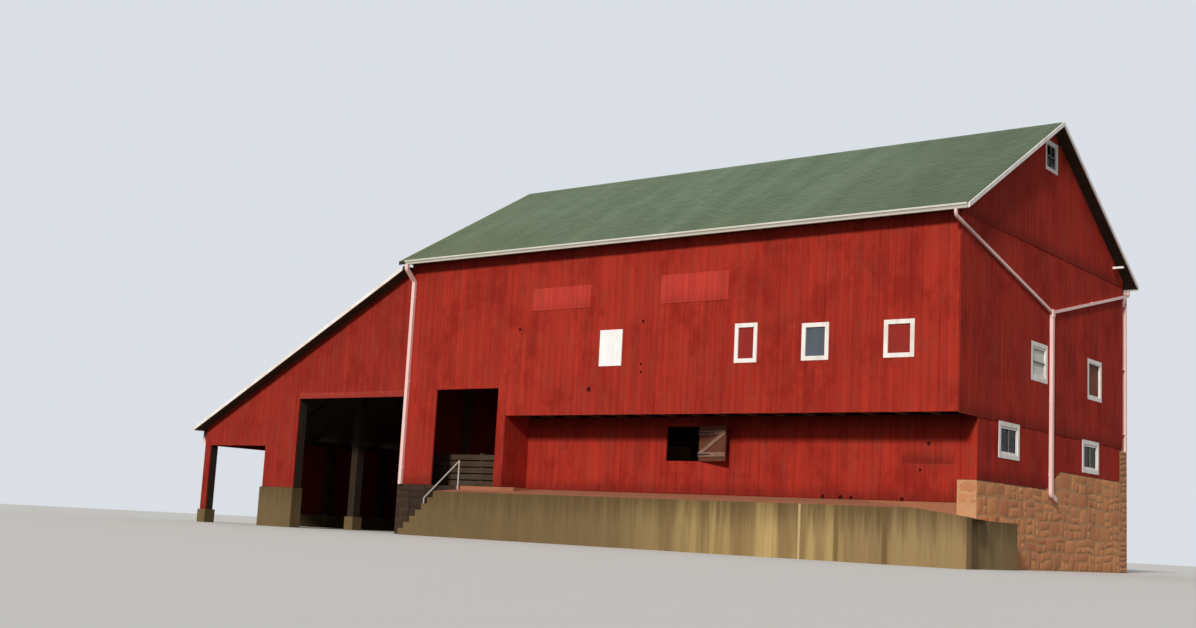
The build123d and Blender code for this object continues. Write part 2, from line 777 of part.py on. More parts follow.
with BuildPart() as lean_to_rear_wall:
    prism(rear_plane(lean_rear), [
        (-left_x, lean_siding_foot), (-lean_x, lean_siding_foot),
        (-lean_x, lean_top(lean_x) - lean_roof_drop),
        (-left_x, lean_top(left_x) - lean_roof_drop)], -board_wall)
save(lean_to_rear_wall, "lean_to_rear_wall")

with BuildPart() as lean_to_roof:
    lean_roof_depth = barn_depth + 2 * lean_to_front_overhang
    prism(rear_plane(lean_rear + lean_to_front_overhang), [
        (-left_x, lean_top(left_x)), (-lean_eave_x, lean_top(lean_eave_x)),
        (-lean_eave_x, lean_top(lean_eave_x) - lean_roof_drop),
        (-left_x, lean_top(left_x) - lean_roof_drop)], -lean_roof_depth)
save(lean_to_roof, "lean_to_roof")

with BuildPart() as lean_to_rake_boards:
    lean_rake_top = left_x - left_rake_overhang - rake_board_thickness
    for plane, side in ((front_plane(lean_front - lean_to_front_overhang), 1),
                        (rear_plane(lean_rear + lean_to_front_overhang), -1)):
        prism(plane, [
            (side * lean_rake_top, lean_top(lean_rake_top)),
            (side * lean_eave_x, lean_top(lean_eave_x)),
            (side * lean_eave_x, lean_top(lean_eave_x) - rake_board_height),
            (side * lean_rake_top, lean_top(lean_rake_top) - rake_board_height)],
            rake_board_thickness)
save(lean_to_rake_boards, "lean_to_rake_boards")

# Rainwater goods


def gutter_profile(plane, back, top, inset):
    """Ogee outline whose back is at a local x and top at a local y, drawn in by an inset."""
    face = back - gutter_width
    foot = top - gutter_height
    with BuildSketch(plane) as profile:
        with BuildLine():
            Polyline((face + inset, foot + gutter_roll), (face + inset, top), (back - inset, top),
                     (back - inset, foot + inset), (back - gutter_sole, foot + inset))
            SagittaArc((back - gutter_sole, foot + inset), (face + inset, foot + gutter_roll),
                       -gutter_belly)
        make_face()
    return profile.sketch


def gutter(plane, back, top, length):
    """Ogee gutter with closed ends."""
    extrude(gutter_profile(plane, back, top, 0), amount=length)
    extrude(gutter_profile(plane.offset(gutter_wall), back, top, gutter_wall),
            amount=length - 2 * gutter_wall, mode=Mode.SUBTRACT)


main_gutter_top = eave - gutter_wall
main_gutter_left = left_x + gutter_setback
main_gutter_length = roof_right - main_gutter_left
lean_gutter_top = lean_top(lean_eave_x) - gutter_wall

with BuildPart() as eave_gutters:
    gutter(Plane(origin=(main_gutter_left, 0, 0), x_dir=(0, 1, 0), z_dir=(1, 0, 0)),
           eave_ys[0], main_gutter_top, main_gutter_length)
    gutter(Plane(origin=(roof_right, 0, 0), x_dir=(0, -1, 0), z_dir=(-1, 0, 0)),
           -eave_ys[1], main_gutter_top, main_gutter_length)
    gutter(Plane(origin=(0, lean_rear + lean_to_front_overhang, 0), x_dir=(1, 0, 0),
                 z_dir=(0, -1, 0)), lean_eave_x, lean_gutter_top, lean_roof_depth)
save(eave_gutters, "eave_gutters")


def pipe(points, axis, size, mode=Mode.ADD):
    """Square pipe along straight runs with rounded elbows, as wide as size along an axis."""
    with BuildLine() as run:
        if len(points) > 2:
            FilletPolyline(*points, radius=elbow_radius)
        else:
            Line(*points)
    with BuildSketch(Plane(origin=run.line @ 0, x_dir=axis, z_dir=run.line % 0)) as section:
        Rectangle(*size)
    sweep(section.sketch, path=run.line, mode=mode)


def inside(size):
    """Clear width and depth within a pipe."""
    return (size[0] - 2 * pipe_wall, size[1] - 2 * pipe_wall)


def strap_levels(low, high):
    """Heights of the straps that hold an upright pipe, spread evenly between its ends."""
    run = high - low - 2 * strap_setback
    return [low + strap_setback + run * count / (strap_count - 1) for count in range(strap_count)]


pipe_offset = pipe_depth / 2 + pipe_standoff
strap_reach = pipe_width / 2 + strap_margin
arm_strap_reach = arm_width / 2 + strap_margin
gutter_outlet = eave_overhang + gutter_width / 2
outlet_z = main_gutter_top - gutter_height
arm_z = outlet_z - outlet_drop
junction_z = loft + junction_height
spout_foot_z = stone_low_height - spout_foot_drop
pipe_foot_z = spout_foot_z + spout_kick_drop

with BuildPart() as gable_downspout:
    pipe_x = gable_x + pipe_offset
    junction = (pipe_x, middle_y, junction_z)
    spout_runs = [
        ([(pipe_x, front_y - gutter_outlet, outlet_z),
          (pipe_x, front_y - gutter_outlet, arm_z), junction], (arm_depth, arm_width)),
        ([(pipe_x, rear_y + gutter_outlet, outlet_z),
          (pipe_x, rear_y + gutter_outlet, arm_z), junction], (arm_depth, arm_width)),
        ([junction, (pipe_x, middle_y, pipe_foot_z),
          (pipe_x, middle_y + spout_kick, spout_foot_z)], (pipe_depth, pipe_width))]
    for run, size in spout_runs:
        pipe(run, (1, 0, 0), size)
    block((pipe_x - pipe_depth / 2 - strap_margin, pipe_x + pipe_depth / 2 + strap_margin),
          (middle_y - pipe_width / 2 - junction_margin, middle_y + pipe_width / 2 + junction_margin),
          (junction_z - pipe_width, junction_z + pipe_width / 2 + junction_margin))
    for strap_z in strap_levels(pipe_foot_z, junction_z):
        block((gable_x, pipe_x), (middle_y - strap_reach, middle_y + strap_reach),
              (strap_z, strap_z + strap_width))
    for side in (-1, 1):
        arm_run = barn_depth / 2 + gutter_outlet
        strap_y = middle_y + side * arm_run / 2
        strap_z = (junction_z + arm_z) / 2
        block((gable_x, pipe_x), (strap_y - strap_width / 2, strap_y + strap_width / 2),
              (strap_z - arm_strap_reach, strap_z + arm_strap_reach))
    for run, size in spout_runs:
        pipe(run, (1, 0, 0), inside(size), mode=Mode.SUBTRACT)
save(gable_downspout, "gable_downspout")

with BuildPart() as left_downspout:
    pipe_y = front_y - pipe_offset
    spout_x = main_gutter_left + outlet_margin
    spout_size = (pipe_width, pipe_depth)
    spout_run = [
        (spout_x, front_y - gutter_outlet, outlet_z), (spout_x, front_y - gutter_outlet, arm_z),
        (spout_x, pipe_y, arm_z - outlet_throw), (spout_x, pipe_y, apron_back)]
    pipe(spout_run, (1, 0, 0), spout_size)
    for strap_z in strap_levels(apron_back, arm_z - outlet_throw):
        block((spout_x - strap_reach, spout_x + strap_reach), (pipe_y, front_y),
              (strap_z, strap_z + strap_width))
    pipe(spout_run, (1, 0, 0), inside(spout_size), mode=Mode.SUBTRACT)
save(left_downspout, "left_downspout")

with BuildPart() as rear_downspout:
    rear_pipe_x = gable_x - pipe_width / 2
    rear_pipe_y = rear_y + gutter_outlet
    rear_spout_run = [(rear_pipe_x, rear_pipe_y, outlet_z), (rear_pipe_x, rear_pipe_y, rear_stone_top)]
    pipe(rear_spout_run, (1, 0, 0), spout_size)
    for strap_z in strap_levels(rear_stone_top, outlet_z):
        block((rear_pipe_x - strap_reach, gable_x - 2 * strap_margin), (rear_y, rear_pipe_y),
              (strap_z, strap_z + strap_width))
    pipe(rear_spout_run, (1, 0, 0), inside(spout_size), mode=Mode.SUBTRACT)
save(rear_downspout, "rear_downspout")

with BuildPart() as lean_to_downspout:
    lean_outlet = lean_eave_x - gutter_width / 2
    lean_pipe_x = lean_x - pipe_offset
    lean_pipe_y = lean_front + lean_post / 2
    lean_outlet_z = lean_gutter_top - gutter_height
    lean_elbow_z = lean_outlet_z - lean_outlet_drop
    lean_spout_run = [
        (lean_outlet, lean_pipe_y, lean_outlet_z), (lean_outlet, lean_pipe_y, lean_elbow_z),
        (lean_pipe_x, lean_pipe_y, lean_elbow_z - lean_outlet_throw),
        (lean_pipe_x, lean_pipe_y, footing_height + spout_kick_drop)]
    pipe(lean_spout_run, (0, 1, 0), spout_size)
    strap_z = lean_elbow_z - lean_outlet_throw - strap_setback
    block((lean_pipe_x, lean_x + board_wall),
          (lean_pipe_y - strap_reach, lean_pipe_y + strap_reach), (strap_z, strap_z + strap_width))
    pipe(lean_spout_run, (0, 1, 0), inside(spout_size), mode=Mode.SUBTRACT)
save(lean_to_downspout, "lean_to_downspout")

# Windows, panels, hatch shutter and the boarded guard

with BuildPart() as window_frames:
    for window in front_windows:
        frame_window(front_plane(), *window)
    for window in rear_windows:
        frame_window(rear_plane(), *window)
    for window in gable_windows + stable_windows + [peak_window]:
        frame_window(right_plane(), *window)
    frame_window(left_plane(), -middle_y, *peak_window[1:])
save(window_frames, "window_frames")

with BuildPart() as window_glass:
    fill_window(front_plane(), *front_windows[glazed_front_window], pane_thickness)
    for window in rear_windows:
        fill_window(rear_plane(), *window, pane_thickness)
    for window in gable_windows + stable_windows + [peak_window]:
        fill_window(right_plane(), *window, pane_thickness)
    fill_window(left_plane(), -middle_y, *peak_window[1:], pane_thickness)
save(window_glass, "window_glass")

with BuildPart() as window_boards:
    for index, window in enumerate(front_windows):
        if index != glazed_front_window:
            fill_window(front_plane(), *window, panel_thickness)
save(window_boards, "window_boards")

with BuildPart() as white_panel:
    with BuildSketch(front_plane()):
        with Locations((gable_x - white_panel_centre,
                        loft + white_panel_foot + white_panel_size[1] / 2)):
            Rectangle(*white_panel_size)
    extrude(amount=casing_depth)
save(white_panel, "white_panel")

with BuildPart() as hatch_shutter:
    swing = radians(shutter_angle)
    shutter_plane = Plane(
        origin=(hatch_right, lower_y, hatch_foot), x_dir=(cos(swing), -sin(swing), 0),
        z_dir=(-sin(swing), -cos(swing), 0))
    with BuildSketch(shutter_plane):
        with Locations((hatch_size[0] / 2, hatch_size[1] / 2)):
            Rectangle(*hatch_size)
    extrude(amount=casing_depth)
    prism(shutter_plane.offset(casing_depth), [
        (0, shutter_ledge), (hatch_size[0], hatch_size[1] - 2 * shutter_ledge),
        (hatch_size[0], hatch_size[1] - shutter_ledge), (0, 2 * shutter_ledge)], casing_depth)
    with BuildSketch(shutter_plane.offset(casing_depth)):
        for ledge_foot in (shutter_ledge, hatch_size[1] - 2 * shutter_ledge):
            with Locations((hatch_size[0] / 2, ledge_foot + shutter_ledge / 2)):
                Rectangle(hatch_size[0], shutter_ledge)
    extrude(amount=casing_depth)
save(hatch_shutter, "hatch_shutter")

with BuildPart() as guard_boards:
    guard_left = left_x + stone_wall
    guard_right = bay_x - board_wall
    guard_step = guard_board_width + guard_board_gap
    guard_top = apron_back + guard_board_gap + guard_board_count * guard_step
    for x in (guard_left, (guard_left + guard_right) / 2, guard_right - joist_width):
        block((x, x + joist_width), (lower_y, lower_y + joist_width), (apron_back, guard_top))
    for count in range(guard_board_count):
        board_foot = apron_back + guard_board_gap + count * guard_step
        block((guard_left, guard_right), (lower_y - board_wall, lower_y),
              (board_foot, board_foot + guard_board_width))
save(guard_boards, "guard_boards")
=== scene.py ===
# %% [markdown]
# # A red forebay barn
#
# A bank barn is a timber frame that stands on stone, boarded upright and roofed with shingles.
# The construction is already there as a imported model: walls, posts, rafters, roof decks.
# What is missing is everything that a carpenter, a mason and a painter would add last.
# Each step below takes one of their jobs, says what it is on a real barn, how it could be
# modelled, and why one way was chosen. Lengths are metres, and nothing moves the frame.

import bpy
import numpy as np
from math import cos, radians, sin, tan
from mathutils import Matrix, Vector


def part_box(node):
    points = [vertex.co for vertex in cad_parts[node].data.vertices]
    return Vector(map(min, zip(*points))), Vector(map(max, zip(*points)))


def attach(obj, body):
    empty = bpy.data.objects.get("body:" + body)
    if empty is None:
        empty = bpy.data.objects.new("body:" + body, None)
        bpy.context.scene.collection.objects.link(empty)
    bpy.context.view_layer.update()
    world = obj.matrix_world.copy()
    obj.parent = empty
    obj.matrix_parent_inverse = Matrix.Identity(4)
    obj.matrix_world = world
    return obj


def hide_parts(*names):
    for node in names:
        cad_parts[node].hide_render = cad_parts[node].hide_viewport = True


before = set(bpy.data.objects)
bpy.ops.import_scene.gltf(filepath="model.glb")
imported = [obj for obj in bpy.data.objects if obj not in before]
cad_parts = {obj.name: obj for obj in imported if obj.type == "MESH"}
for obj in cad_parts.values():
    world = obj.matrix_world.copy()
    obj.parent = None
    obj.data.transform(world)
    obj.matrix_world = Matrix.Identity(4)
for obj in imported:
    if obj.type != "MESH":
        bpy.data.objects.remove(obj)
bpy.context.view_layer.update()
rng = np.random.default_rng(7)

# %% [markdown]
# ## The barn's own lines
#
# Cladding has to meet the frame to the millimetre, so its limits are read from the frame's
# boxes. Only the slopes and a few seams are repeated, because a box can't say them.

# %% Lines and levels
gable_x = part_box("gable_upper_wall")[1].x
left_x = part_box("left_gable_wall")[0].x
rear_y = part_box("rear_upper_wall")[1].y
bay_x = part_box("forebay_return_wall")[1].x
lower_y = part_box("lower_front_wall")[0].y
lean_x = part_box("lean_to_side_wall")[0].x
stable_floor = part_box("front_left_wall")[0].z
over_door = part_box("front_wall_over_door")[0]
front_low, front_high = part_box("front_upper_wall")
front_y, loft, siding_top = front_low.y, front_low.z, front_high.z
door_left, door_right, door_head = over_door.x, front_low.x, over_door.z
roof_low, roof_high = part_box("main_roof_front")
ridge_top, middle_y = roof_high.z, roof_high.y
lean_low, lean_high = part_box("lean_to_roof")
deck, roof_pitch, lean_pitch = 0.09, radians(30.2), radians(26.8)
roof_slope, lean_slope = tan(roof_pitch), tan(lean_pitch)
roof_under, lean_under = deck / cos(roof_pitch), deck / cos(lean_pitch)


def roof_line(y):
    """Underside of the main roof deck: it falls with the slope on both sides of the ridge."""
    return ridge_top - roof_under - abs(y - middle_y) * roof_slope


def lean_line(x):
    """Underside of the lean-to's roof deck: it falls from the barn's left end."""
    return lean_high.z - lean_under - (left_x - x) * lean_slope


print("gable", round(gable_x, 3), "ridge", round(ridge_top, 3), "eave boards", round(siding_top, 3))

# %% [markdown]
# ## Meshes from arrays
#
# A wall of boards, a roof of shingles and a wall of stones are each hundreds of like pieces.
# Objects for each would be slow, and instances would have to be realized as meshes.
# So every piece of a kind is a row in an array, and one call writes the whole mesh. A mesh
# written this way is shaded smooth. Only the stones keep that: on boards, shingles and straps
# it would make square edges look melted, so those are set flat.

# %% Write a mesh


def put_object(name, data):
    """A new object, linked to the scene."""
    thing = bpy.data.objects.new(name, data)
    bpy.context.scene.collection.objects.link(thing)
    return thing


def put_mesh(name, points, quads, material, slot, smooth=False, **marks):
    """One object of like pieces: all their points, the quads of one, and marks of the points."""
    points = points.reshape(-1, 3)
    quads = (quads + np.arange(0, len(points), quads.max() + 1)[:, None, None]).reshape(-1, 4)
    mesh = bpy.data.meshes.new(name)
    mesh.vertices.add(len(points))
    mesh.vertices.foreach_set("co", np.asarray(points, np.float32).ravel())
    mesh.loops.add(quads.size)
    mesh.loops.foreach_set("vertex_index", np.asarray(quads, np.int32).ravel())
    mesh.polygons.add(len(quads))
    mesh.polygons.foreach_set("loop_start", np.arange(0, quads.size, 4, dtype=np.int32))
    mesh.update(calc_edges=True)
    mesh.validate()
    if not smooth:
        mesh.shade_flat()
    for mark, values in marks.items():
        layer = mesh.attributes.new(mark, "FLOAT", "POINT")
        layer.data.foreach_set("value", np.asarray(values, np.float32).ravel())
    mesh.materials.append(material)
    piece = put_object(name, mesh)
    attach(piece, "root")
    print(name, len(points), "points", 2 * len(quads), "triangles")
    return piece


def sheet_quads(rows, columns, closed=False):
    """Quads of a grid of rows by columns, whose columns may close into a ring."""
    row, column = np.meshgrid(np.arange(rows - 1), np.arange(columns - (not closed)), indexing="ij")
    after = (column + 1) % columns
    low, high = row * columns, (row + 1) * columns
    return np.stack([low + column, low + after, high + after, high + column], -1).reshape(-1, 4)


def stick_quads(rings, end=((5, 4, 1, 0), (4, 3, 2, 1))):
    """Quads of a stick: rings of six points, with two quads over each end."""
    first = np.array(end)
    last = first[:, ::-1] + 6 * (rings - 1)
    return np.concatenate([sheet_quads(rings, 6, closed=True), first, last])


# %% [markdown]
# ## Walls as flat maps
#
# Each wall is worked on as a flat map: along it, up it and out of it. A wall knows which way
# it runs and which way it faces, and turns the three into places on the barn. The way along is
# chosen so that along, up and out stay right-handed, and every face then points outwards.

# %% Turn wall maps into places


def on_wall(facing, base, along, up, out):
    """Place = base line + along * run + out * outward, at height up, for one of four walls."""
    outward = np.array({"front": (0, -1), "right": (1, 0), "rear": (0, 1), "left": (-1, 0)}[facing])
    run = np.array((-outward[1], outward[0]))
    along, up, out = np.broadcast_arrays(along, up, out)
    plan = along[..., None] * run + (out[..., None] + base * outward.sum()) * outward
    return np.concatenate([plan, up[..., None]], -1)


print(on_wall("rear", rear_y, 1.0, 2.0, 0.1), on_wall("front", front_y, 1.0, 2.0, 0.1))

# %% [markdown]
# ## Shader maths as plain arithmetic
#
# A finish is a formula: paint where the sun is strong, bare wood where rain splashes. Wiring
# such a formula by hand hides it. A small class wraps a socket so that + - * / make the Math
# nodes, and one method makes every other node from its type, its settings and its inputs.

# %% Wires and paints


class Wire:
    """An output socket that arithmetic works on."""

    def __init__(self, paint, socket):
        self.paint, self.socket = paint, socket

    def maths(self, operation, *values):
        return self.paint.node("ShaderNodeMath", {"operation": operation}, values)

    def __add__(self, other):
        return self.maths("ADD", self, other)

    def __sub__(self, other):
        return self.maths("SUBTRACT", self, other)

    def __rsub__(self, other):
        return self.maths("SUBTRACT", other, self)

    def __mul__(self, other):
        return self.maths("MULTIPLY", self, other)

    def __truediv__(self, other):
        return self.maths("DIVIDE", self, other)

    def between(self, low, high):
        """0 below low, 1 above high and a smooth rise between them."""
        return self.paint.node(
            "ShaderNodeMapRange", {"interpolation_type": "SMOOTHSTEP"},
            {"Value": self, "From Min": low, "From Max": high})

    __radd__ = __add__
    __rmul__ = __mul__


class Paint:
    """A material, or the sky, that is being mixed."""

    def __init__(self, name, shelf=bpy.data.materials):
        self.owner = shelf.new(name)
        self.owner.use_nodes = True
        self.tree = self.owner.node_tree
        self.tree.nodes.clear()

    def node(self, kind, settings=(), inputs=(), output=0):
        """Adds a node, sets it, then fills its inputs by name or by order."""
        node = self.tree.nodes.new(kind)
        for key, value in dict(settings).items():
            setattr(node, key, value)
        pairs = inputs.items() if isinstance(inputs, dict) else enumerate(inputs)
        for key, value in pairs:
            found = [s for s in node.inputs if s.identifier == key or s.name == key]
            socket = found[0] if isinstance(key, str) else node.inputs[key]
            if isinstance(value, Wire):
                self.tree.links.new(value.socket, socket)
            else:
                socket.default_value = value
        return Wire(self, node.outputs[output])

    def mix(self, share, first, second):
        """Colour between two, each of them mixed already or three eight-bit screen values."""
        first, second = (colour if isinstance(colour, Wire) else screen_colour(*colour)
                         for colour in (first, second))
        return self.node("ShaderNodeMix", {"data_type": "RGBA"},
                         {"Factor_Float": share, "A_Color": first, "B_Color": second}, output=2)

    def coats(self, colour, *coats):
        """The colour under coats, each of them a share from 0 to 1 and a colour of its own."""
        for share, tone in coats:
            colour = self.mix(share, colour, tone)
        return colour

    def noise(self, x, y, z, detail=3.0, roughness=0.55, shift=(0, 0, 0)):
        """Cloudy value from 0 to 1 with so many lumps to a metre on each axis."""
        place = self.node("ShaderNodeTexCoord", output="Object")
        place = self.node("ShaderNodeMapping", {}, {"Vector": place, "Scale": (x, y, z),
                                                    "Location": shift})
        return self.node("ShaderNodeTexNoise", {}, {
            "Vector": place, "Scale": 1.0, "Detail": detail, "Roughness": roughness})

    def mark(self, name):
        """A value that the mesh carries at each point."""
        return self.node("ShaderNodeAttribute", {"attribute_name": name}, output="Fac")

    def axis(self, index):
        """One coordinate of the place on the barn."""
        place = self.node("ShaderNodeTexCoord", output="Object")
        return self.node("ShaderNodeSeparateXYZ", {}, (place,), output=index)

    def finish(self, colour, roughness, height=None, depth=0.01, shine=0.2, **others):
        """Joins colour, roughness and relief to the surface, and other inputs to their sockets."""
        inputs = {"Base Color": colour, "Roughness": roughness, "Specular IOR Level": shine}
        if height is not None:
            inputs["Normal"] = self.node("ShaderNodeBump", {}, {
                "Height": height, "Distance": depth, "Strength": 0.7})
        surface = self.node("ShaderNodeBsdfPrincipled", {}, {**inputs, **others})
        end = self.tree.nodes.new("ShaderNodeOutputMaterial")
        self.tree.links.new(surface.socket, end.inputs["Surface"])
        return self.owner


def screen_colour(red, green, blue):
    """A colour given as eight-bit screen values, in the linear values that a shader takes."""
    share = np.array((red, green, blue)) / 255
    linear = np.where(share > 0.04045, ((share + 0.055) / 1.055) ** 2.4, share / 12.92)
    return (*linear, 1.0)


print("wires and paints ready")

# %% [markdown]
# ## Barn red
#
# Barn paint is a thin oil paint on rough boards. Rain pulls it down in streaks, each board
# drinks it differently, and splashing water strips the lowest half metre. The streaks are noise
# packed across the wall and drawn out up it. What differs from board to board comes from a value
# that each board carries, which noise alone can't know.

# %% Barn red


def barn_red(name, sunny, deep, worn=1.0):
    """Streaks of two reds that each board shifts, under fading, stains, flakes and painted shade.
    """
    paint = Paint(name)
    rise = paint.mark("rise")
    streaks = paint.noise(9, 9, 0.30, 5.0, 0.62)
    grain = paint.noise(70, 70, 2.2, 4.0, 0.7)
    clouds = paint.noise(0.45, 0.45, 0.3, 3.0)
    fresh = (streaks * 1.1 + paint.mark("tint") * 0.22 + clouds * 0.55 - 0.42).between(0.0, 1.0)
    faded = paint.noise(2.6, 2.6, 0.9, 5.0, 0.7, (2, 7, 5)).between(0.45, 0.72)
    stains = paint.noise(1.2, 1.2, 0.8, 5.0, 0.7, (8, 1, 3)).between(0.45, 0.66)
    flakes = paint.noise(16, 16, 3.0, 5.0, 0.7, (9, 2, 4)).between(0.68, 0.78)
    splash = (1 - rise.between(0.0, 0.5)) * paint.noise(5, 5, 2.5, 4.0)
    knots = paint.noise(7, 7, 1.6, 2.0, 0.5, (3, 5, 1)).between(0.74, 0.80)
    colour = paint.coats(
        deep, (fresh, sunny),
        (faded * 0.42, (138, 66, 50)),
        (stains * 0.52 * worn, (126, 27, 20)),
        (flakes * 0.35 * worn, (120, 78, 58)),
        (splash.between(0.25, 0.6) * 0.28 * worn, (94, 30, 23)),
        # Darker over the lowest 0.45 m of each stretch of boards.
        ((1 - rise.between(0.02, 0.45)) * 0.45 * worn, (108, 34, 25)),
        (knots * 0.5, (74, 14, 11)),
        # This mark is painted shade, near black: under the forebay's overhang and inside gnawed
        # holes.
        (paint.mark("rot") * 0.9, (34, 14, 11)))
    return paint.finish(colour, 0.78 + 0.15 * grain, grain * 0.5 + streaks * 0.5, 0.004, 0.08)


red_paint = barn_red("barn_red", (184, 55, 40), (146, 40, 31))
patch_paint = barn_red("barn_red_patched", (203, 68, 57), (182, 56, 46), 0.3)
siding_paint = barn_red("old_siding", (142, 80, 54), (116, 64, 44), 0.5)
lean_to_paint = barn_red("barn_red_lean_to", (170, 52, 39), (132, 38, 31))
boarded_paint = barn_red("barn_red_boarded", (172, 56, 48), (150, 46, 40), 0.3)
faded_paint = barn_red("barn_red_faded", (190, 72, 60), (164, 54, 44), 0.5)
print("reds:", red_paint.name, patch_paint.name)

# %% [markdown]
# ## The other finishes
#
# Frame timbers are sawn and never painted, so their grain runs along the stick: one timber
# finish for each direction. All of them are darkened by painted shade, most of all where they
# stand deep in the barn's dark. Trim is white paint gone creamy. Roofing is mineral grit on
# shingles, greener where it is newer and olive where dirt and lichen sit. Concrete is streaked
# by what runs off the apron, and the stone is warm sandstone in lime mortar.

# %% Timber, trim and metal


def sawn_timber(name, x, y, z, painted_light):
    """Grain drawn out along the stick, dark checks, a grey surface and painted shade."""
    paint = Paint(name)
    grain = paint.noise(x, y, z, 6.0, 0.7)
    age = paint.noise(1.1, 1.1, 1.1, 3.0, 0.5, (4, 4, 4)).between(0.45, 0.75)
    checks = paint.noise(x * 2.2, y * 2.2, z * 2.2, 3.0, 0.5, (1, 8, 3)).between(0.66, 0.74)
    colour = paint.coats((74, 54, 38), (grain, (138, 110, 82)), (age * 0.6, (126, 118, 106)),
                         (checks * 0.7, (38, 28, 20)), (1 - painted_light, (20, 15, 12)))
    return paint.finish(colour, 0.82 + 0.12 * grain, grain - checks * 0.6, 0.006)


def white_trim(name, clean, dirty):
    """White paint with dust in its lee, hairline peeling and drips drawn down it."""
    paint = Paint(name)
    dust = paint.noise(3.0, 3.0, 1.2, 4.0)
    drips = paint.noise(26, 26, 1.4, 4.0, 0.6, (2, 2, 7))
    peel = paint.noise(34, 34, 12, 5.0, 0.7, (6, 1, 2)).between(0.70, 0.75)
    colour = paint.coats(clean, (dust.between(0.35, 0.8), dirty),
                         (drips.between(0.52, 0.8) * 0.45, (150, 132, 116)),
                         (peel * 0.8, (112, 92, 76)))
    return paint.finish(colour, 0.48 + 0.3 * dust, drips * 0.4 - peel, 0.002)


def painted_metal(name, clean, dirty, rust):
    """Smooth paint on sheet metal: soft streaks, chalky patches and rust at the scratches."""
    paint = Paint(name)
    chalk = paint.noise(2.2, 2.2, 2.2, 4.0)
    streaks = paint.noise(30, 30, 2.0, 3.0, 0.6, (5, 3, 1))
    scratches = paint.noise(24, 24, 24, 5.0, 0.75, (8, 8, 2)).between(0.68, 0.74)
    colour = paint.coats(clean, (chalk, dirty), (streaks.between(0.5, 0.85) * 0.5, dirty),
                         (scratches * rust, (120, 62, 34)))
    return paint.finish(colour, 0.34 + 0.3 * chalk, streaks * 0.5 + chalk, 0.002)


# The last number is how much of the timber's colour stays; the rest is painted shade, near black.
upright_timber = sawn_timber("upright_timber", 30, 30, 1.4, 0.7)
shed_timber = sawn_timber("shed_timber", 30, 30, 1.4, 0.2)
guard_timber = sawn_timber("guard_timber", 1.4, 30, 30, 0.35)
long_timber = sawn_timber("long_timber", 1.4, 30, 30, 0.7)
cross_timber = sawn_timber("cross_timber", 30, 1.4, 30, 0.7)
trim_paint = white_trim("trim_paint", (252, 247, 242), (232, 218, 206))
panel_paint = white_trim("panel_paint", (255, 253, 252), (242, 236, 232))
bar_paint = white_trim("bar_paint", (112, 108, 102), (84, 78, 72))
gutter_paint = painted_metal("gutter_paint", (234, 233, 221), (206, 201, 185), 0.35)
pipe_paint = painted_metal("pipe_paint", (255, 218, 212), (240, 194, 186), 0.35)
rail_paint = painted_metal("rail_paint", (206, 202, 196), (160, 152, 144), 0.8)
iron = painted_metal("hinge_iron", (60, 52, 48), (38, 33, 31), 0.9)
print("timber, trim and metal ready")

# %% Bare boards, glass and blinds


swing, hatch_low, hatch_high = radians(16), *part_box("hatch_shutter")
hatch_right, hatch_width, leaf = gable_x - 8.0, 1.1, 0.05
hatch_pin = (hatch_right - leaf * sin(swing), lower_y - leaf * cos(swing))
loft_windows = (4.0, 7.0)


def bare_board():
    """Unpainted pine gone red-brown, and paler where the battens stand proud of the leaf.

    The height over the leaf is the distance from the battens' plane, which leans by the swing.
    """
    paint = Paint("bare_board")
    grain = paint.noise(42, 42, 2.4, 5.0, 0.7)
    stain = paint.noise(4, 4, 3, 3.0, 0.5, (7, 7, 7))
    away = (hatch_pin[0] - paint.axis(0)) * sin(swing) + (hatch_pin[1] - paint.axis(1)) * cos(swing)
    paler = paint.mix(grain, (112, 82, 68), (168, 130, 112))
    colour = paint.coats((74, 40, 28), (grain, (124, 76, 56)), (away.between(-0.02, -0.01), paler),
                         (stain.between(0.5, 0.75) * 0.4, (70, 46, 38)))
    return paint.finish(colour, 0.85, grain, 0.004)


def window_pane():
    """Old glass: dark, a little uneven, dusty; slate blue at the front, a painted sky reflection.

    It is clearer in the gable's two upper windows, where a blind and old siding show through.
    """
    paint = Paint("window_pane")
    ripple = paint.noise(5, 5, 3, 2.0)
    dust = paint.noise(9, 9, 6, 4.0, 0.6, (1, 6, 2)).between(0.5, 0.85)
    # Painted reflection: the front panes get slate blue where the glass would mirror the sky.
    sky = 1 - paint.axis(1).between(front_y + 0.1, front_y + 0.2)
    over, under = (paint.axis(2).between(level, level + 0.1) for level in loft_windows)
    clear = over * (1 - under) * paint.axis(0).between(gable_x - 0.2, gable_x - 0.1)
    painted_sky_reflection = paint.mix(ripple, (70, 80, 90), (92, 102, 112))
    colour = paint.coats((34, 38, 42), (ripple, (56, 62, 68)), (dust * 0.35, (150, 146, 136)),
                         (sky, painted_sky_reflection))
    return paint.finish(colour, 0.06 + 0.3 * dust, ripple, 0.003, 0.5,
                        Alpha=0.24 + 0.66 * sky - 0.18 * clear)


def blind_cloth():
    """A drawn paper blind behind a window, paler where the folds catch light."""
    paint = Paint("window_blind")
    folds = paint.noise(14, 14, 0.8, 3.0)
    colour = paint.mix(folds, (250, 240, 230), (255, 252, 246))
    return paint.finish(colour, 0.9, folds, 0.01)


bare_pine = bare_board()
# The roof decks keep 0.22 of their colour, and the rest is painted shade.
sheathing = sawn_timber("roof_sheathing", 1.2, 6, 6, 0.22)
pane_glass = window_pane()
blind_paper = blind_cloth()
print("bare boards, glass and blinds ready")

# %% Roofing, concrete and stone


apron_top, dip_length, dip_fall = 1.32, 1.3, 0.123


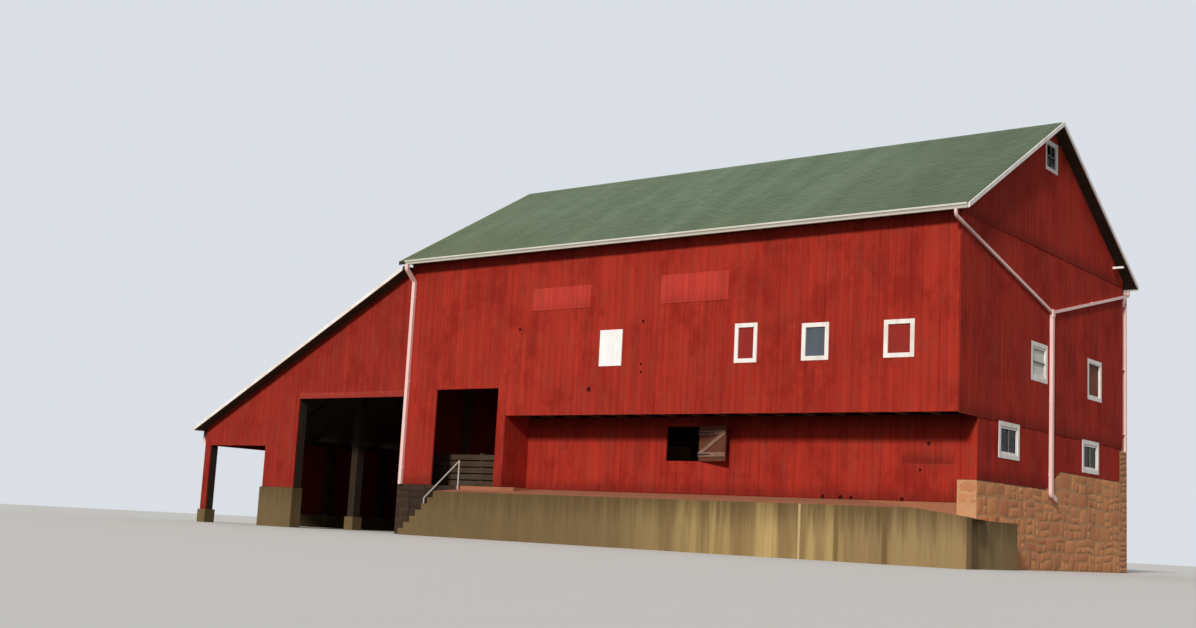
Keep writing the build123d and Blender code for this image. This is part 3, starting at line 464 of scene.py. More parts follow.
def roof_shingle():
    """Grit in soft greens by each tab's tint, olive low down and left, darker at the right."""
    paint = Paint("roof_shingle")
    along = paint.axis(0)
    grit = paint.noise(420, 420, 420, 2.0, 0.6)
    wash = paint.noise(0.9, 0.16, 0.16, 4.0, 0.6).between(0.25, 0.75)
    lichen = paint.noise(0.35, 0.5, 0.5, 5.0, 0.6, (3, 1, 8))
    low = 1 - paint.axis(2).between(7.6, 10.8)
    left = 1 - along.between(-5.5, 5.5)
    olive = (lichen * 0.9 + low * 0.28 + left * 0.30 - 0.2).between(0.2, 1.05)
    colour = paint.coats(
        (82, 100, 78), (paint.mark("tint") * 0.4 + wash * 0.6, (118, 134, 110)),
        (olive * 0.7, (102, 106, 72)), (along.between(6.0, 13.0) * 0.34, (70, 82, 64)),
        (grit.between(0.35, 0.75) * 0.22, (140, 144, 128)))
    return paint.finish(colour, 0.88, grit, 0.002)


def streaked_concrete(name, worn=0.0):
    """Tan concrete: run-off hangs from the lip in fingers, joints stand, the trodden top is pink.

    A worn one is pink all over, and dark on its sides where it stands left of the apron.
    """
    paint = Paint(name)
    along, lip = paint.axis(0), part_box("apron_slab")[1].x - dip_length
    drop = apron_top - along.maths("MAXIMUM", along - lip, 0.0) * dip_fall - paint.axis(2)
    mottling = paint.noise(1.6, 1.6, 1.6, 6.0, 0.65)
    columns = paint.noise(2.4, 2.4, 0.10, 3.0, 0.55, (2, 2, 5))
    fingers = 0.62 * paint.noise(4.4, 4.4, 0.16, 4.0, 0.6, (9, 4, 1)) \
        + 0.38 * paint.noise(14, 14, 0.5, 3.0, 0.6, (1, 4, 6))
    hanging = (fingers * 1.6 - drop * 0.70).between(0.22, 0.95)
    hair = paint.noise(24, 24, 0.7, 3.0, 0.6, (3, 1, 2))
    pits = paint.noise(46, 46, 46, 3.0, 0.6).between(0.68, 0.76)
    joints = [((1 - along.maths("ABSOLUTE", along - place) / width).between(0.0, 0.7) * share, tone)
              for place, width, share, tone in ((10.38, 0.05, 0.8, (206, 180, 132)),
                                                (11.38, 0.10, 0.7, (104, 80, 46)),
                                                (12.66, 0.11, 0.7, (100, 76, 44)))]
    facing = paint.node("ShaderNodeNewGeometry", output="Normal")
    trodden = paint.node("ShaderNodeSeparateXYZ", {}, (facing,), output="Z").between(0.3, 0.7)
    darkening = (1 - along.between(-2.1, -2.0)) * (1 - trodden)
    colour = paint.coats(
        (144, 116, 74), (columns.between(0.36, 0.64), (204, 174, 114)),
        ((1 - along.between(4.0, 9.8)) * 0.9, (112, 92, 60)),
        ((1 - along.between(-2.0, 8.0)) * 0.55, (84, 68, 46)),
        (along.between(10.6, 12.6) * 0.75, (146, 120, 84)),
        (mottling * 0.4, (150, 124, 86)),
        (hanging * 0.85, (94, 73, 45)),
        (hair.between(0.5, 0.8) * 0.35, (108, 88, 56)),
        *joints,
        (0.85 * (worn + (1 - worn) * trodden), paint.mix(mottling, (150, 92, 66), (184, 122, 90))),
        (darkening * worn, (44, 34, 28)),
        (pits * 0.6, (70, 60, 46)))
    return paint.finish(colour, 0.88, mottling - pits * 0.8, 0.012)


def warm_stone(name, first, second, third, darkening=0.0):
    """Sandstone that changes colour from stone to stone, with grains, veins, stains and darkening.
    """
    paint = Paint(name)
    grain = paint.noise(60, 60, 60, 4.0, 0.7)
    veins = paint.noise(6, 6, 12, 5.0, 0.7, (3, 3, 1))
    damp = paint.noise(0.8, 0.8, 0.5, 3.0, 0.5, (5, 2, 2))
    colour = paint.coats(
        first, (paint.mark("tint"), second), (veins.between(0.45, 0.7) * 0.5, third),
        (grain * 0.3, (206, 180, 148)), (damp.between(0.55, 0.8) * 0.4, (96, 76, 58)),
        (darkening, (24, 17, 13)))
    return paint.finish(colour, 0.9, grain * 0.4 + veins, 0.010)


shingle_grit = roof_shingle()
concrete = streaked_concrete("streaked_concrete")
threshold_concrete = streaked_concrete("threshold_concrete", 1.0)
field_stone = warm_stone("field_stone", (238, 158, 98), (206, 124, 78), (216, 116, 72))
quoin_stone = warm_stone("quoin_stone", (198, 130, 86), (188, 118, 80), (210, 150, 80))
dark_stone = warm_stone("dark_stone", (150, 104, 76), (128, 86, 62), (120, 80, 56), 0.88)
dark_mortar = warm_stone("dark_mortar", (120, 96, 74), (104, 82, 64), (90, 70, 54), 0.8)
lime_mortar = warm_stone("lime_mortar", (204, 150, 104), (184, 132, 92), (170, 118, 82))
print("roofing, concrete and stone ready")

# %% [markdown]
# ## Finishes for the frame's own pieces
#
# The frame's meshes stay as they are, and only their material slots are filled. Wall sheets get
# the red too, since they show in the narrow gaps between boards and from inside.

# %% Dress the frame
finishes = {
    red_paint: ["front_upper_wall", "front_left_wall", "front_wall_over_door", "lower_front_wall",
                "forebay_return_wall", "gable_upper_wall", "gable_lower_wall", "left_gable_wall",
                "rear_upper_wall", "lean_to_front_wall", "lean_to_side_wall",
                "lean_to_rear_wall"],
    boarded_paint: ["window_boards"],
    upright_timber: ["stable_posts", "frame_posts", "purlin_posts", "frame_braces"],
    shed_timber: ["lean_to_posts", "lean_to_rafters", "lean_to_beams"],
    guard_timber: ["guard_boards"],
    long_timber: ["floor_girders", "wall_plates", "roof_purlins", "ridge_beam", "floor_sills",
                  "loft_floor"],
    cross_timber: ["forebay_joists", "tie_beams", "main_rafters"],
    trim_paint: ["rake_boards", "rake_lookout", "lean_to_rake_boards", "window_frames"],
    panel_paint: ["white_panel"],
    gutter_paint: ["eave_gutters"],
    pipe_paint: ["gable_downspout", "left_downspout", "rear_downspout", "lean_to_downspout"],
    rail_paint: ["step_handrail"],
    bare_pine: ["hatch_shutter"],
    pane_glass: ["window_glass"],
    sheathing: ["main_roof_front", "main_roof_rear", "lean_to_roof"],
    shingle_grit: ["ridge_cap"],
    concrete: ["apron_wall", "apron_steps", "stable_floor", "apron_slab", "lean_to_footings"],
    threshold_concrete: ["front_foundation", "door_cross_foundation"],
    lime_mortar: ["gable_foundation", "rear_foundation", "lean_to_rear_foundation"],
    dark_mortar: ["left_foundation"],
}
for material, names in finishes.items():
    for name in names:
        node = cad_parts[name]
        node.data.materials.clear()
        node.data.materials.append(material)
undressed = set(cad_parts) - {name for names in finishes.values() for name in names}
print("undressed:", sorted(undressed))

# %% [markdown]
# ## Upright boards
#
# Siding is sawn boards nailed upright, some 23 cm wide, with gaps of a few millimetres that
# opened as they dried. No two are equally wide, thick or straight. Each board here is a profile
# of six points across, with eased corners, carried up in five steps that bow a little. Boards
# are cut round windows first, as lists of pieces, and then shaped as one array.

# %% Lay out the boards
board_width, board_gap, board_depth = 0.235, 0.004, 0.012


def board_edges(start, end, width, through=()):
    """Uneven edges from start to end, one of them at each value that boards have to meet at."""
    stops = sorted({start, end, *through})
    edges = [start]
    for low, high in zip(stops, stops[1:]):
        count = max(1, round((high - low) / width))
        share = np.cumsum(rng.uniform(0.72, 1.28, count))
        edges.extend(low + (high - low) * share / share[-1])
    return np.array(edges)


def cut_round(boards, holes):
    """Boards as (left, right, two foot and two head heights), cut clear of each hole."""
    for left, right, foot, head in holes:
        kept = []
        for low, high, foot_low, foot_high, head_low, head_high in boards:
            bottom, top = max(foot_low, foot_high), min(head_low, head_high)
            if high <= left or low >= right or top <= foot or bottom >= head:
                kept.append((low, high, foot_low, foot_high, head_low, head_high))
                continue
            beside = [max(foot, bottom)] * 2 + [min(head, top)] * 2
            pieces = [(bottom < foot, (low, high, foot_low, foot_high, foot, foot)),
                      (top > head, (low, high, head, head, head_low, head_high)),
                      (low < left, (low, left, *beside)), (high > right, (right, high, *beside))]
            kept += [piece for there, piece in pieces if there]
        boards = kept
    return boards


def lay_boards(start, end, foot, head, holes=(), through=(), width=board_width):
    """Boards side by side between two lines, each of them a height or a function of the run."""
    edges = board_edges(start, end, width, through)
    foot_at = foot if callable(foot) else lambda run: foot
    head_at = head if callable(head) else lambda run: head
    boards = [(low, high, foot_at(low), foot_at(high), head_at(low), head_at(high))
              for low, high in zip(edges, edges[1:])]
    boards = np.array(cut_round(boards, holes))
    tall = boards[:, 4:].min(1) - boards[:, 2:4].max(1) > 0.03
    return boards[tall & (boards[:, 1] - boards[:, 0] > 0.015)]


print("sample wall:", lay_boards(0, 3, 0, 2, [(1, 2, 0.5, 1.0)]).shape, "pieces by values")

# %% Shape the boards


def shape_boards(name, facing, base, boards, material=red_paint, slot="red_boards", proud=0.0,
                 depth=board_depth, gap=board_gap, bow=0.0025, shade_under_head=0.0):
    """Place = profile across the board, carried up it; out = depth + bow * sin(1.5 pi v).

    The boards are one laid stretch or several.
    """
    boards = np.vstack(boards)
    count, steps, ease = len(boards), 5, 0.004
    low, high, foot_low, foot_high, head_low, head_high = boards.T[:, :, None, None]
    side = np.array([0, 0, 0, 1, 1, 1])
    inset = np.array([0, 0, ease, -ease, 0, 0])
    lift = np.array([0, depth - ease, depth, depth, depth - ease, 0])
    share = np.linspace(0, 1, steps)[:, None]
    run = low + gap / 2 + (high - low - gap) * side + inset + 0 * share
    foot = foot_low + (foot_high - foot_low) * side
    head = head_low + (head_high - head_low) * side
    up = foot + (head - foot) * share
    warp = rng.uniform(-bow, bow, (count, 1, 1)) * np.sin(1.5 * np.pi * share)
    cup = rng.uniform(-bow, bow, (count, 1, 1)) * 0.5
    out = proud + lift + (lift > 0) * (warp + cup)
    tint = np.broadcast_to(rng.uniform(0, 1, (count, 1, 1)), up.shape)
    # Painted shade from an overhang: darkest at the boards' top and gone half a metre down.
    rot = shade_under_head * np.clip((up - boards[:, 4:].max()) / 0.5 + 1, 0, 1)
    return put_mesh(name, on_wall(facing, base, run, up, out), stick_quads(steps), material, slot,
                    tint=tint, rise=up - boards[:, 2].min(), rot=rot)


# %% Find the windows


def groups(values, gap):
    """Ranges of values that lie closer together than the gap."""
    values = np.unique(np.round(values, 4))
    splits = np.flatnonzero(np.diff(values) > gap)
    return list(zip(values[np.r_[0, splits + 1]], values[np.r_[splits, len(values) - 1]]))


def window_places(facing, base):
    """Cased windows of one wall as (left, right, foot, head), read from the frame's casings."""
    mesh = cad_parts["window_frames"].data
    points = np.empty(len(mesh.vertices) * 3)
    mesh.vertices.foreach_get("co", points)
    points = points.reshape(-1, 3)
    outward = on_wall(facing, 0.0, 0.0, 0.0, 1.0)
    run = on_wall(facing, 0.0, 1.0, 0.0, 0.0)
    near = points[abs(points @ outward - base * outward.sum()) < 0.08]
    found = []
    for foot, head in groups(near[:, 2], 1.0):
        level = near[(near[:, 2] >= foot - 0.01) & (near[:, 2] <= head + 0.01)]
        for left, right in groups(level @ run, 1.15):
            column = level[(level @ run >= left - 0.01) & (level @ run <= right + 0.01)]
            found.append((left, right, column[:, 2].min(), column[:, 2].max()))
    return found


windows = {facing: window_places(facing, base) for facing, base in (
    ("front", front_y), ("right", gable_x), ("rear", rear_y), ("left", left_x))}
for facing, found in windows.items():
    print(facing, np.round(found, 2).tolist())

# %% [markdown]
# ## Boards on every wall
#
# The front wall has two places where an old door was boarded up: they are left as holes for the
# main boards and filled with paler ones. At the gable's foot the boards follow the stepped
# stone, and at its head they follow the roof, with one edge exactly under the ridge.

# %% Front boards
panel_low, panel_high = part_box("white_panel")
panel_hole = (panel_low.x, panel_high.x, panel_low.z, panel_high.z)
patches = [(0.58, 2.77, 6.67, 7.35), (5.21, 7.44, 6.63, 7.45)]
left_seam, board_foot, foot_gap = 4.44, stable_floor + 0.02, 0.01
front_gnaws = [(0.16, 6.15, 0.075), (2.87, 4.34, 0.10), (4.67, 6.19, 0.065), (4.66, 5.0, 0.05),
               (4.67, 4.78, 0.05)]
foot_gnaws = [(9.82, 1.57, 0.09), (10.33, 1.56, 0.11), (10.63, 1.565, 0.085), (12.03, 1.57, 0.09),
              (12.72, 2.95, 0.07), (12.50, 2.30, 0.05)]


def gnaw_cuts(places):
    """The square that each gnawed hole takes out of the boards behind its rim."""
    return [(run - size / 2, run + size / 2, up - size / 2, up + size / 2)
            for run, up, size in places]


shape_boards("front_boards", "front", front_y, [
    lay_boards(bay_x, gable_x, loft - 0.03, siding_top,
               windows["front"] + patches + [panel_hole] + gnaw_cuts(front_gnaws)),
    lay_boards(door_left, door_right, door_head, siding_top),
    lay_boards(door_right, bay_x, board_foot, siding_top),
    lay_boards(left_x, door_left, left_seam + board_gap, siding_top),
    lay_boards(left_x, door_left, board_foot, left_seam)])
shape_boards("patch_boards", "front", front_y, [
    lay_boards(left, right, foot + 0.012, head - board_gap, width=0.19)
    for left, right, foot, head in patches], patch_paint)

hatch_hole = (hatch_right - hatch_width, hatch_right, hatch_low.z, hatch_high.z)
stone_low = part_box("gable_lower_wall")[0].z
stone_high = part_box("gable_foundation")[1].z
stone_wall = 0.5
end_block = (gable_x - stone_wall, gable_x + 1, 0, stone_low)
mend = mend_left, mend_right, mend_foot, mend_head = (12.03, 13.39, 2.43, 3.03)
# The forebay shades the top of the lower wall, and that shade is painted into these boards.
shape_boards("lower_front_boards", "front", lower_y,
             lay_boards(bay_x, gable_x, board_foot, loft,
                        [hatch_hole, end_block, mend] + gnaw_cuts(foot_gnaws)), shade_under_head=0.75)
shape_boards("mended_boards", "front", lower_y,
             lay_boards(mend_left, mend_right, mend_foot + foot_gap, mend_head - board_gap,
                        gnaw_cuts(foot_gnaws), width=0.17))
ledge_foot, ledge_head = mend_foot - 0.005, mend_foot + 0.02
shape_boards("mended_ledge", "front", lower_y,
             [(mend_left, mend_right, ledge_foot, ledge_foot, ledge_head, ledge_head)],
             faded_paint, depth=0.016)
shape_boards("return_boards", "right", bay_x, lay_boards(front_y, lower_y, board_foot, loft))

# %% [markdown]
# ## Gnawed holes
#
# Birds and rot have opened a few knots, and the boards have gone soft where they stand on the
# apron. A dark spot would read as dirt, so each is a bowl: a square cut through the boards,
# covered by a round rim that carries the red, with a dish inside it in near-black painted shade.

# %% Gnaw the holes


def gnaw_holes(name, facing, base, places):
    """Out = rim - dish * (1 - r / 0.55) ^ 0.6 inside r = 0.55, over rings with a wavy edge."""
    across, level, size = np.array(places).T[:, :, None, None]
    ring = np.array([1.0, 0.85, 0.7, 0.55, 0.4, 0.2, 0.001])[:, None]
    angle = np.linspace(0, 2 * np.pi, 20, endpoint=False)
    phase = rng.uniform(0, 2 * np.pi, across.shape)
    wave = 1 + 0.07 * np.sin(3 * angle + phase) + 0.05 * np.sin(5 * angle - 2 * phase)
    run = across + size * ring * wave * np.cos(angle) * 0.9
    up = np.maximum(level + size * ring * wave * np.sin(angle), stable_floor + 0.004)
    out = board_depth + 0.0015 - 0.011 * np.clip(1 - ring / 0.55, 0, 1) ** 0.6 + 0 * run
    # The inner rings carry painted shade, so that the dish reads as the dark inside of a hole.
    rot = np.clip((0.86 - ring) / 0.14, 0, 1) + 0 * run
    return put_mesh(name, on_wall(facing, base, run, up, out), sheet_quads(7, 20, closed=True),
                    red_paint, "red_boards", rot=rot, tint=0.5 + 0 * run, rise=1.0 + 0 * run)


gnaw_holes("front_gnaws", "front", front_y, front_gnaws)
gnaw_holes("foot_gnaws", "front", lower_y, foot_gnaws)

# %% Gable boards
belt, upper_seam, lap = 0.06, 8.45, 0.05
stone_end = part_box("gable_foundation")[1].y
step_low, step_high = front_y + 5.43, front_y + 6.45
stone_slope = (stone_high - stone_low) / (step_high - step_low)
lower_head = loft - belt + 0.02
gable_front, gable_rear = front_y - board_depth, rear_y + board_depth


def step_line(y):
    """Top of the gable's stone where it climbs the slope."""
    return stone_low + (y - step_low) * stone_slope


shape_boards("gable_lower_boards", "right", gable_x, [
    lay_boards(lower_y - board_depth, step_low, stone_low + foot_gap, lower_head,
               windows["right"]),
    lay_boards(step_low, step_high, lambda y: step_line(y) + foot_gap, lower_head),
    lay_boards(step_high, stone_end, stone_high + foot_gap, lower_head, windows["right"])])
shape_boards("gable_upper_boards", "right", gable_x,
             lay_boards(gable_front, gable_rear, loft - belt, upper_seam, windows["right"]),
             proud=0.012)
shape_boards("gable_peak_boards", "right", gable_x,
             lay_boards(gable_front, gable_rear, upper_seam - lap, roof_line, windows["right"],
                        through=[middle_y]), proud=0.026)

# %% Left, rear and lean-to boards
rear_stone_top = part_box("rear_foundation")[1].z
rear_end = stone_wall - rear_y
shape_boards("left_gable_boards", "left", left_x, [
    lay_boards(-rear_y, -front_y, board_foot, lean_high.z - 0.12,
               [(-rear_y, rear_end, 0, rear_stone_top)]),
    lay_boards(-gable_rear, -gable_front, lean_high.z + 0.015, lambda run: roof_line(-run),
               windows["left"], through=[-middle_y])])
shape_boards("rear_boards", "rear", rear_y,
             lay_boards(-gable_x, -left_x, rear_stone_top + 0.015, siding_top, windows["rear"]))

pier_width, corner_post, open_bay = 1.58, 0.3, 2.75
opening_head, side_foot, side_band = 4.25, 0.47, 0.72
pier_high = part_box("lean_to_posts")[1].x
pier_low, corner_right = pier_high - pier_width, lean_x + corner_post
side_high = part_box("lean_to_side_wall")[1].z
siding_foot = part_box("lean_to_rear_wall")[0].z
low_head = lean_line(lean_x) + lean_under - side_band
closed_y = front_y + open_bay
shape_boards("lean_to_front_boards", "front", front_y, [
    lay_boards(lean_x - board_depth, corner_right, side_foot, lean_line),
    lay_boards(corner_right, pier_low, low_head, lean_line),
    lay_boards(pier_low, pier_high, siding_foot + foot_gap, lean_line),
    lay_boards(pier_high, left_x, left_seam + board_gap, lean_line)], lean_to_paint)
shape_boards("lintel_boards", "front", front_y,
             lay_boards(pier_high, left_x, opening_head, left_seam, width=1.6), faded_paint,
             depth=0.022)
shape_boards("lean_to_side_boards", "left", lean_x, [
    lay_boards(-rear_y, rear_end, siding_foot + foot_gap, side_high),
    lay_boards(rear_end, -closed_y, side_foot, side_high),
    lay_boards(-closed_y, -front_y, low_head, side_high)])
rake_low, rake_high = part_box("lean_to_rake_boards")
trim_height, trim_ends = 0.12, np.array((rake_high.x - 0.01, left_x - 0.06))
trim_top = lean_high.z - (left_x - trim_ends) * lean_slope
shape_boards("lean_to_trim_end", "front", rake_low.y + 0.02,
             [(*trim_ends, *(trim_top - trim_height), *trim_top)], trim_paint, "white_wood",
             proud=-0.001, depth=0.018, gap=0.0, bow=0.0)
shape_boards("lean_to_rear_boards", "rear", rear_y,
             lay_boards(-left_x, -lean_x, siding_foot + foot_gap, lambda run: lean_line(-run)))

# %% [markdown]
# ## Shingles
#
# A strip shingle shows a tab some 30 cm wide and 14 cm high, thick at its lower edge where the
# next one's head slips under. Painting the courses with a texture would leave the roof's edge
# flat. Here each tab is a wedge, every second row is shifted by half a tab, and the three slopes
# are one function of a corner of the eave, the way along it, and the pitch.

# %% Shingle the slopes
tab_width, exposure, butt, joint, overlap = 0.305, 0.143, 0.009, 0.003, 0.02


def lay_shingles(name, eave, top, along, pitch, length, reach):
    """Place = corner + a * along + t * upslope + n * normal, with n falling from butt to head.

    Upslope is a quarter turn left of along, tipped up by the pitch; reach is its length in plan.
    """
    corner = np.array((*eave, top - reach * tan(pitch)))
    upslope = np.array((-along[1] * cos(pitch), along[0] * cos(pitch), sin(pitch)))
    along = np.array((*along, 0.0))
    normal = np.cross(along, upslope)
    rise = reach / cos(pitch)
    rows = round(rise / exposure)
    step = rise / rows
    starts = np.arange(-tab_width / 2, length, tab_width)
    row, start = np.meshgrid(np.arange(rows), starts, indexing="ij")
    start = start + (row % 2) * tab_width / 2
    low = np.clip(start + joint, 0.0, length)
    high = np.clip(start + tab_width - joint, 0.0, length)
    keep = high - low > 0.02
    row, low, high = row[keep], low[keep], high[keep]
    count = len(row)
    slack = rng.uniform(-0.004, 0.004, count)
    foot, head = row * step + slack * (row > 0), np.minimum((row + 1) * step + overlap, rise)
    thick = butt * rng.uniform(0.85, 1.15, count)
    a = np.stack([low, high, high, low] * 2, -1)
    t = np.stack([foot, foot, head, head] * 2, -1)
    n = np.stack([thick, thick, thick * 0.15, thick * 0.15] + [0 * thick - 0.003] * 4, -1)
    points = corner + a[..., None] * along + t[..., None] * upslope + n[..., None] * normal
    wedge = np.array([[0, 1, 2, 3], [4, 5, 1, 0], [5, 6, 2, 1], [6, 7, 3, 2], [7, 4, 0, 3],
                      [7, 6, 5, 4]])
    tint = rng.uniform(0, 1, count) * 0.8 + 0.2 * rng.uniform(0, 1, rows)[row]
    return put_mesh(name, points, wedge, shingle_grit, "roofing", tint=np.repeat(tint, 8))


rear_eave_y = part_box("main_roof_rear")[1].y
roof_run, roof_reach = roof_high.x - roof_low.x, roof_high.y - roof_low.y
lay_shingles("front_shingles", (roof_low.x, roof_low.y), ridge_top, (1, 0), roof_pitch,
             roof_run, roof_reach)
lay_shingles("rear_shingles", (roof_high.x, rear_eave_y), ridge_top, (-1, 0), roof_pitch,
             roof_run, roof_reach)
lay_shingles("lean_to_shingles", (lean_low.x, lean_high.y), lean_high.z, (0, -1), lean_pitch,
             lean_high.y - lean_low.y, lean_high.x - lean_low.x)

# %% Cap the ridge


def cap_ridge():
    """Caps folded over the ridge; z = ridge - |y| * slope + a lift that falls from butt to head."""
    half, gauge = 0.17, 0.006
    count = round(roof_run / exposure)
    step = roof_run / count
    across = np.array([-half, 0, half, half, 0, -half])
    inner = np.array([0, 0, 0, 1, 1, 1])
    start = roof_low.x + np.arange(count)[:, None, None] * step
    end = np.array([0.0, 1.0])[:, None]
    x = np.minimum(start + end * (step + 0.03), roof_high.x) + 0 * across
    y = middle_y + across + 0 * x
    lift = 0.0135 - end * 0.006 - inner * gauge
    z = ridge_top - abs(across) * roof_slope + lift + 0 * x
    caps = put_mesh("ridge_caps", np.stack([x, y, z], -1), stick_quads(2)[:, ::-1], shingle_grit,
                    "roofing", tint=np.repeat(rng.uniform(0, 1, count), 12))
    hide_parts("ridge_cap")
    return caps


cap_ridge()

# %% [markdown]
# ## Stones
#
# The foundation is rubble laid in rough courses, flush with the frame's own face, which
# here becomes the mortar. Each stone is a small pillow: a grid whose corners are drawn in and
# whose face bulges, so that mortar shows between stones in real shadowed joints.

# %% Lay the stones


def rubble_cells(start, end, foot, head, course, length):
    """Stones as (left, right, low, high): each cell of a rough grid is one to three stones."""
    stones = []
    levels = board_edges(foot, head, course)
    for low, high in zip(levels, levels[1:]):
        edges = board_edges(start, end, length)
        for left, right in zip(edges, edges[1:]):
            middle = left + (right - left) * rng.uniform(0.38, 0.62)
            level = low + (high - low) * rng.uniform(0.38, 0.62)
            stones += [
                [(left, right, low, high)],
                [(left, right, low, level), (left, right, level, high)],
                [(left, middle, low, high), (middle, right, low, level),
                 (middle, right, level, high)],
                [(left, middle, low, level), (middle, right, low, level),
                 (left, right, level, high)]][rng.integers(4)]
    return np.array(stones)


def lay_stones(name, facing, base, start, end, foot, head, material, course=0.44, length=0.62,
               bulge=0.014, cut=None):
    """Out = bulge * (1 - |u|^6)(1 - |v|^6) - 3 mm over cells that sway together in waves."""
    stones = rubble_cells(start, end, foot, head, course, length)
    if cut is not None:
        line = cut((stones[:, 0] + stones[:, 1]) / 2)
        stones[:, 3] = np.minimum(stones[:, 3], line)
        stones = stones[stones[:, 3] - stones[:, 2] > 0.06]
    count = len(stones)
    left, right, low, high = stones.T[:, :, None, None]
    grid = np.array([-1.0, -0.82, -0.35, 0.35, 0.82, 1.0])
    u, v = grid[None, None, :], grid[None, :, None]
    skew = rng.uniform(-0.012, 0.012, (4, count, 1, 1))
    mortar = 0.011
    across = u * np.sqrt(1 - 0.30 * v ** 2 / 2) * ((right - left) / 2 - mortar)
    upward = v * np.sqrt(1 - 0.30 * u ** 2 / 2) * ((high - low) / 2 - mortar)
    run = (left + right) / 2 + across + skew[0] * v + skew[1] * 0.4
    up = (low + high) / 2 + upward + skew[2] * u * 0.6
    sway = 0.035 * np.sin(2.3 * run + 3.7 * up) + 0.02 * np.sin(5.1 * up - 1.9 * run)
    heave = 0.030 * np.sin(2.9 * run - 1.3 * up) + 0.018 * np.sin(6.1 * run + 0.7)
    run = np.clip(run, start, end)
    up = np.clip(up, foot, head)
    run = run + sway * np.clip(np.minimum(run - start, end - run) / 0.25, 0, 1)
    up = up + heave * np.clip(np.minimum(up - foot, head - up) / 0.2, 0, 1)
    if cut is not None:
        up = np.minimum(up, cut(run) - 0.004)
    swell = bulge * rng.uniform(0.6, 1.1, (count, 1, 1))
    chips = rng.uniform(-0.004, 0.004, (count, 6, 6))
    out = (swell + chips) * (1 - u ** 6) * (1 - v ** 6) + skew[3] * 0.4 * u * (1 - v ** 6) - 0.003
    tint = np.repeat(rng.uniform(0, 1, count), 36)
    return put_mesh(name, on_wall(facing, base, run, up, out), sheet_quads(6, 6), material, "stone",
                    smooth=True, tint=tint)


def gable_stone_top(y):
    """Height of the gable's stone at each place along it."""
    return np.clip(step_line(y), stone_low, stone_high)


rear_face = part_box("rear_foundation")[1].y
apron_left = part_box("apron_wall")[0].x
lay_stones("gable_stones", "right", gable_x, lower_y, stone_end, 0, stone_high, field_stone,
           cut=gable_stone_top)
for row in (
        ("gable_end_stones", "front", lower_y, gable_x - stone_wall, gable_x, stable_floor,
         stone_low, quoin_stone, 0.30, 0.5, 0.010),
        ("rear_stones", "rear", rear_face, -gable_x, -left_x, 0, rear_stone_top, field_stone),
        ("rear_end_stones", "right", gable_x, stone_end, rear_face, 0, rear_stone_top,
         quoin_stone, 0.30, 0.6, 0.016),
        ("left_stones", "left", left_x, rear_end, -front_y, 0, stable_floor, dark_stone),
        ("rear_left_stones", "left", left_x, -rear_y, rear_end, 0, rear_stone_top, field_stone),
        ("front_left_stones", "front", front_y, left_x, apron_left, 0, stable_floor, dark_stone),
        ("lean_to_rear_stones", "rear", rear_y, -left_x + 0.03, -lean_x, 0, siding_foot,
         field_stone),
        ("lean_to_corner_stones", "left", lean_x, -rear_y, rear_end, 0, siding_foot, quoin_stone),
        ("rear_return_stones", "left", left_x, -rear_face, -rear_y, 0, rear_stone_top,
         quoin_stone)):
    lay_stones(*row)

# %% [markdown]
# ## Sashes
#
# A sash is the white frame that holds the panes inside the casing. The windows were made at
# different times: some sashes have a crossing pair of bars, some one bar, and one has none.
# Their members are small boards too, so the same function lays them, set back into the casing.

# %% Glaze the windows


def glaze(name, facing, base, places, sash=0.06, upright=True, level=True, bar=0.024):
    """Four sash members inside each casing, and a darker bar across the middle each way."""
    wood, bars = [], []
    casing = 0.105
    for left, right, foot, head in np.array(places) + (casing, -casing, casing, -casing):
        middle, centre = (left + right) / 2, (foot + head) / 2
        inner_left, inner_right = left + sash, right - sash
        wood += [(left, inner_left, foot, head), (inner_right, right, foot, head),
                 (inner_left, inner_right, foot, foot + sash),
                 (inner_left, inner_right, head - sash, head)]
        if upright:
            bars.append((middle - bar / 2, middle + bar / 2, foot + sash, head - sash))
        if level:
            bars.append((inner_left, inner_right, centre - bar / 2, centre + bar / 2))
    for kind, pieces, material in (("sash", wood, trim_paint), ("bars", bars, bar_paint)):
        if pieces:
            shape_boards(name + kind, facing, base, np.array(pieces)[:, [0, 1, 2, 2, 3, 3]],
                         material, "white_wood", proud=-0.016, depth=0.026, gap=0.0, bow=0.0)


upper = [place for place in windows["right"] if place[2] > loft_windows[0]]
lower = [place for place in windows["right"] if place not in upper]
peak, front_pane, rear_pane = sorted(upper, key=lambda place: (-place[2], place[0]))
glaze("peak_", "right", gable_x, [peak], sash=0.02, bar=0.035)
glaze("blind_", "right", gable_x, [front_pane], upright=False)
glaze("boarded_", "right", gable_x, [rear_pane], sash=0.03, upright=False, level=False)
glaze("stable_", "right", gable_x, lower, sash=0.065, level=False)
glaze("left_peak_", "left", left_x, windows["left"], sash=0.03)
glaze("rear_", "rear", rear_y, windows["rear"], sash=0.03)

# %% [markdown]
# ## What stands behind the glass
#
# Most panes are dark because the barn is. The gable's front window is pale grey from a drawn
# blind, and the one behind it is red-brown from old siding nailed across it inside.

# %% Hang the blind and the inner boards


def inner_cover(place):
    """The opening of a cased window, a little larger, for what hangs behind it."""
    reach = 0.06
    left, right, foot, head = place
    return left + reach, right - reach, foot + reach, head - reach


left, right, foot, head = inner_cover(front_pane)
shape_boards("gable_blind", "right", gable_x, [(left, right, foot, foot, head, head)],
             blind_paper, "white_wood", proud=-0.036, depth=0.009, gap=0.0, bow=0.0005)
shape_boards("inner_boards", "right", gable_x, lay_boards(*inner_cover(rear_pane)),
             siding_paint, "bare_boards", proud=-0.054, depth=0.011, bow=0.0005)

# %% [markdown]
# ## Hatch hinges
#
# The feed hatch hangs on two forged straps, broad at the pin and drawn out to a round tip, with
# a rolled knuckle. The shutter stands open at an angle, so the straps are worked out along it.

# %% Hang the hatch


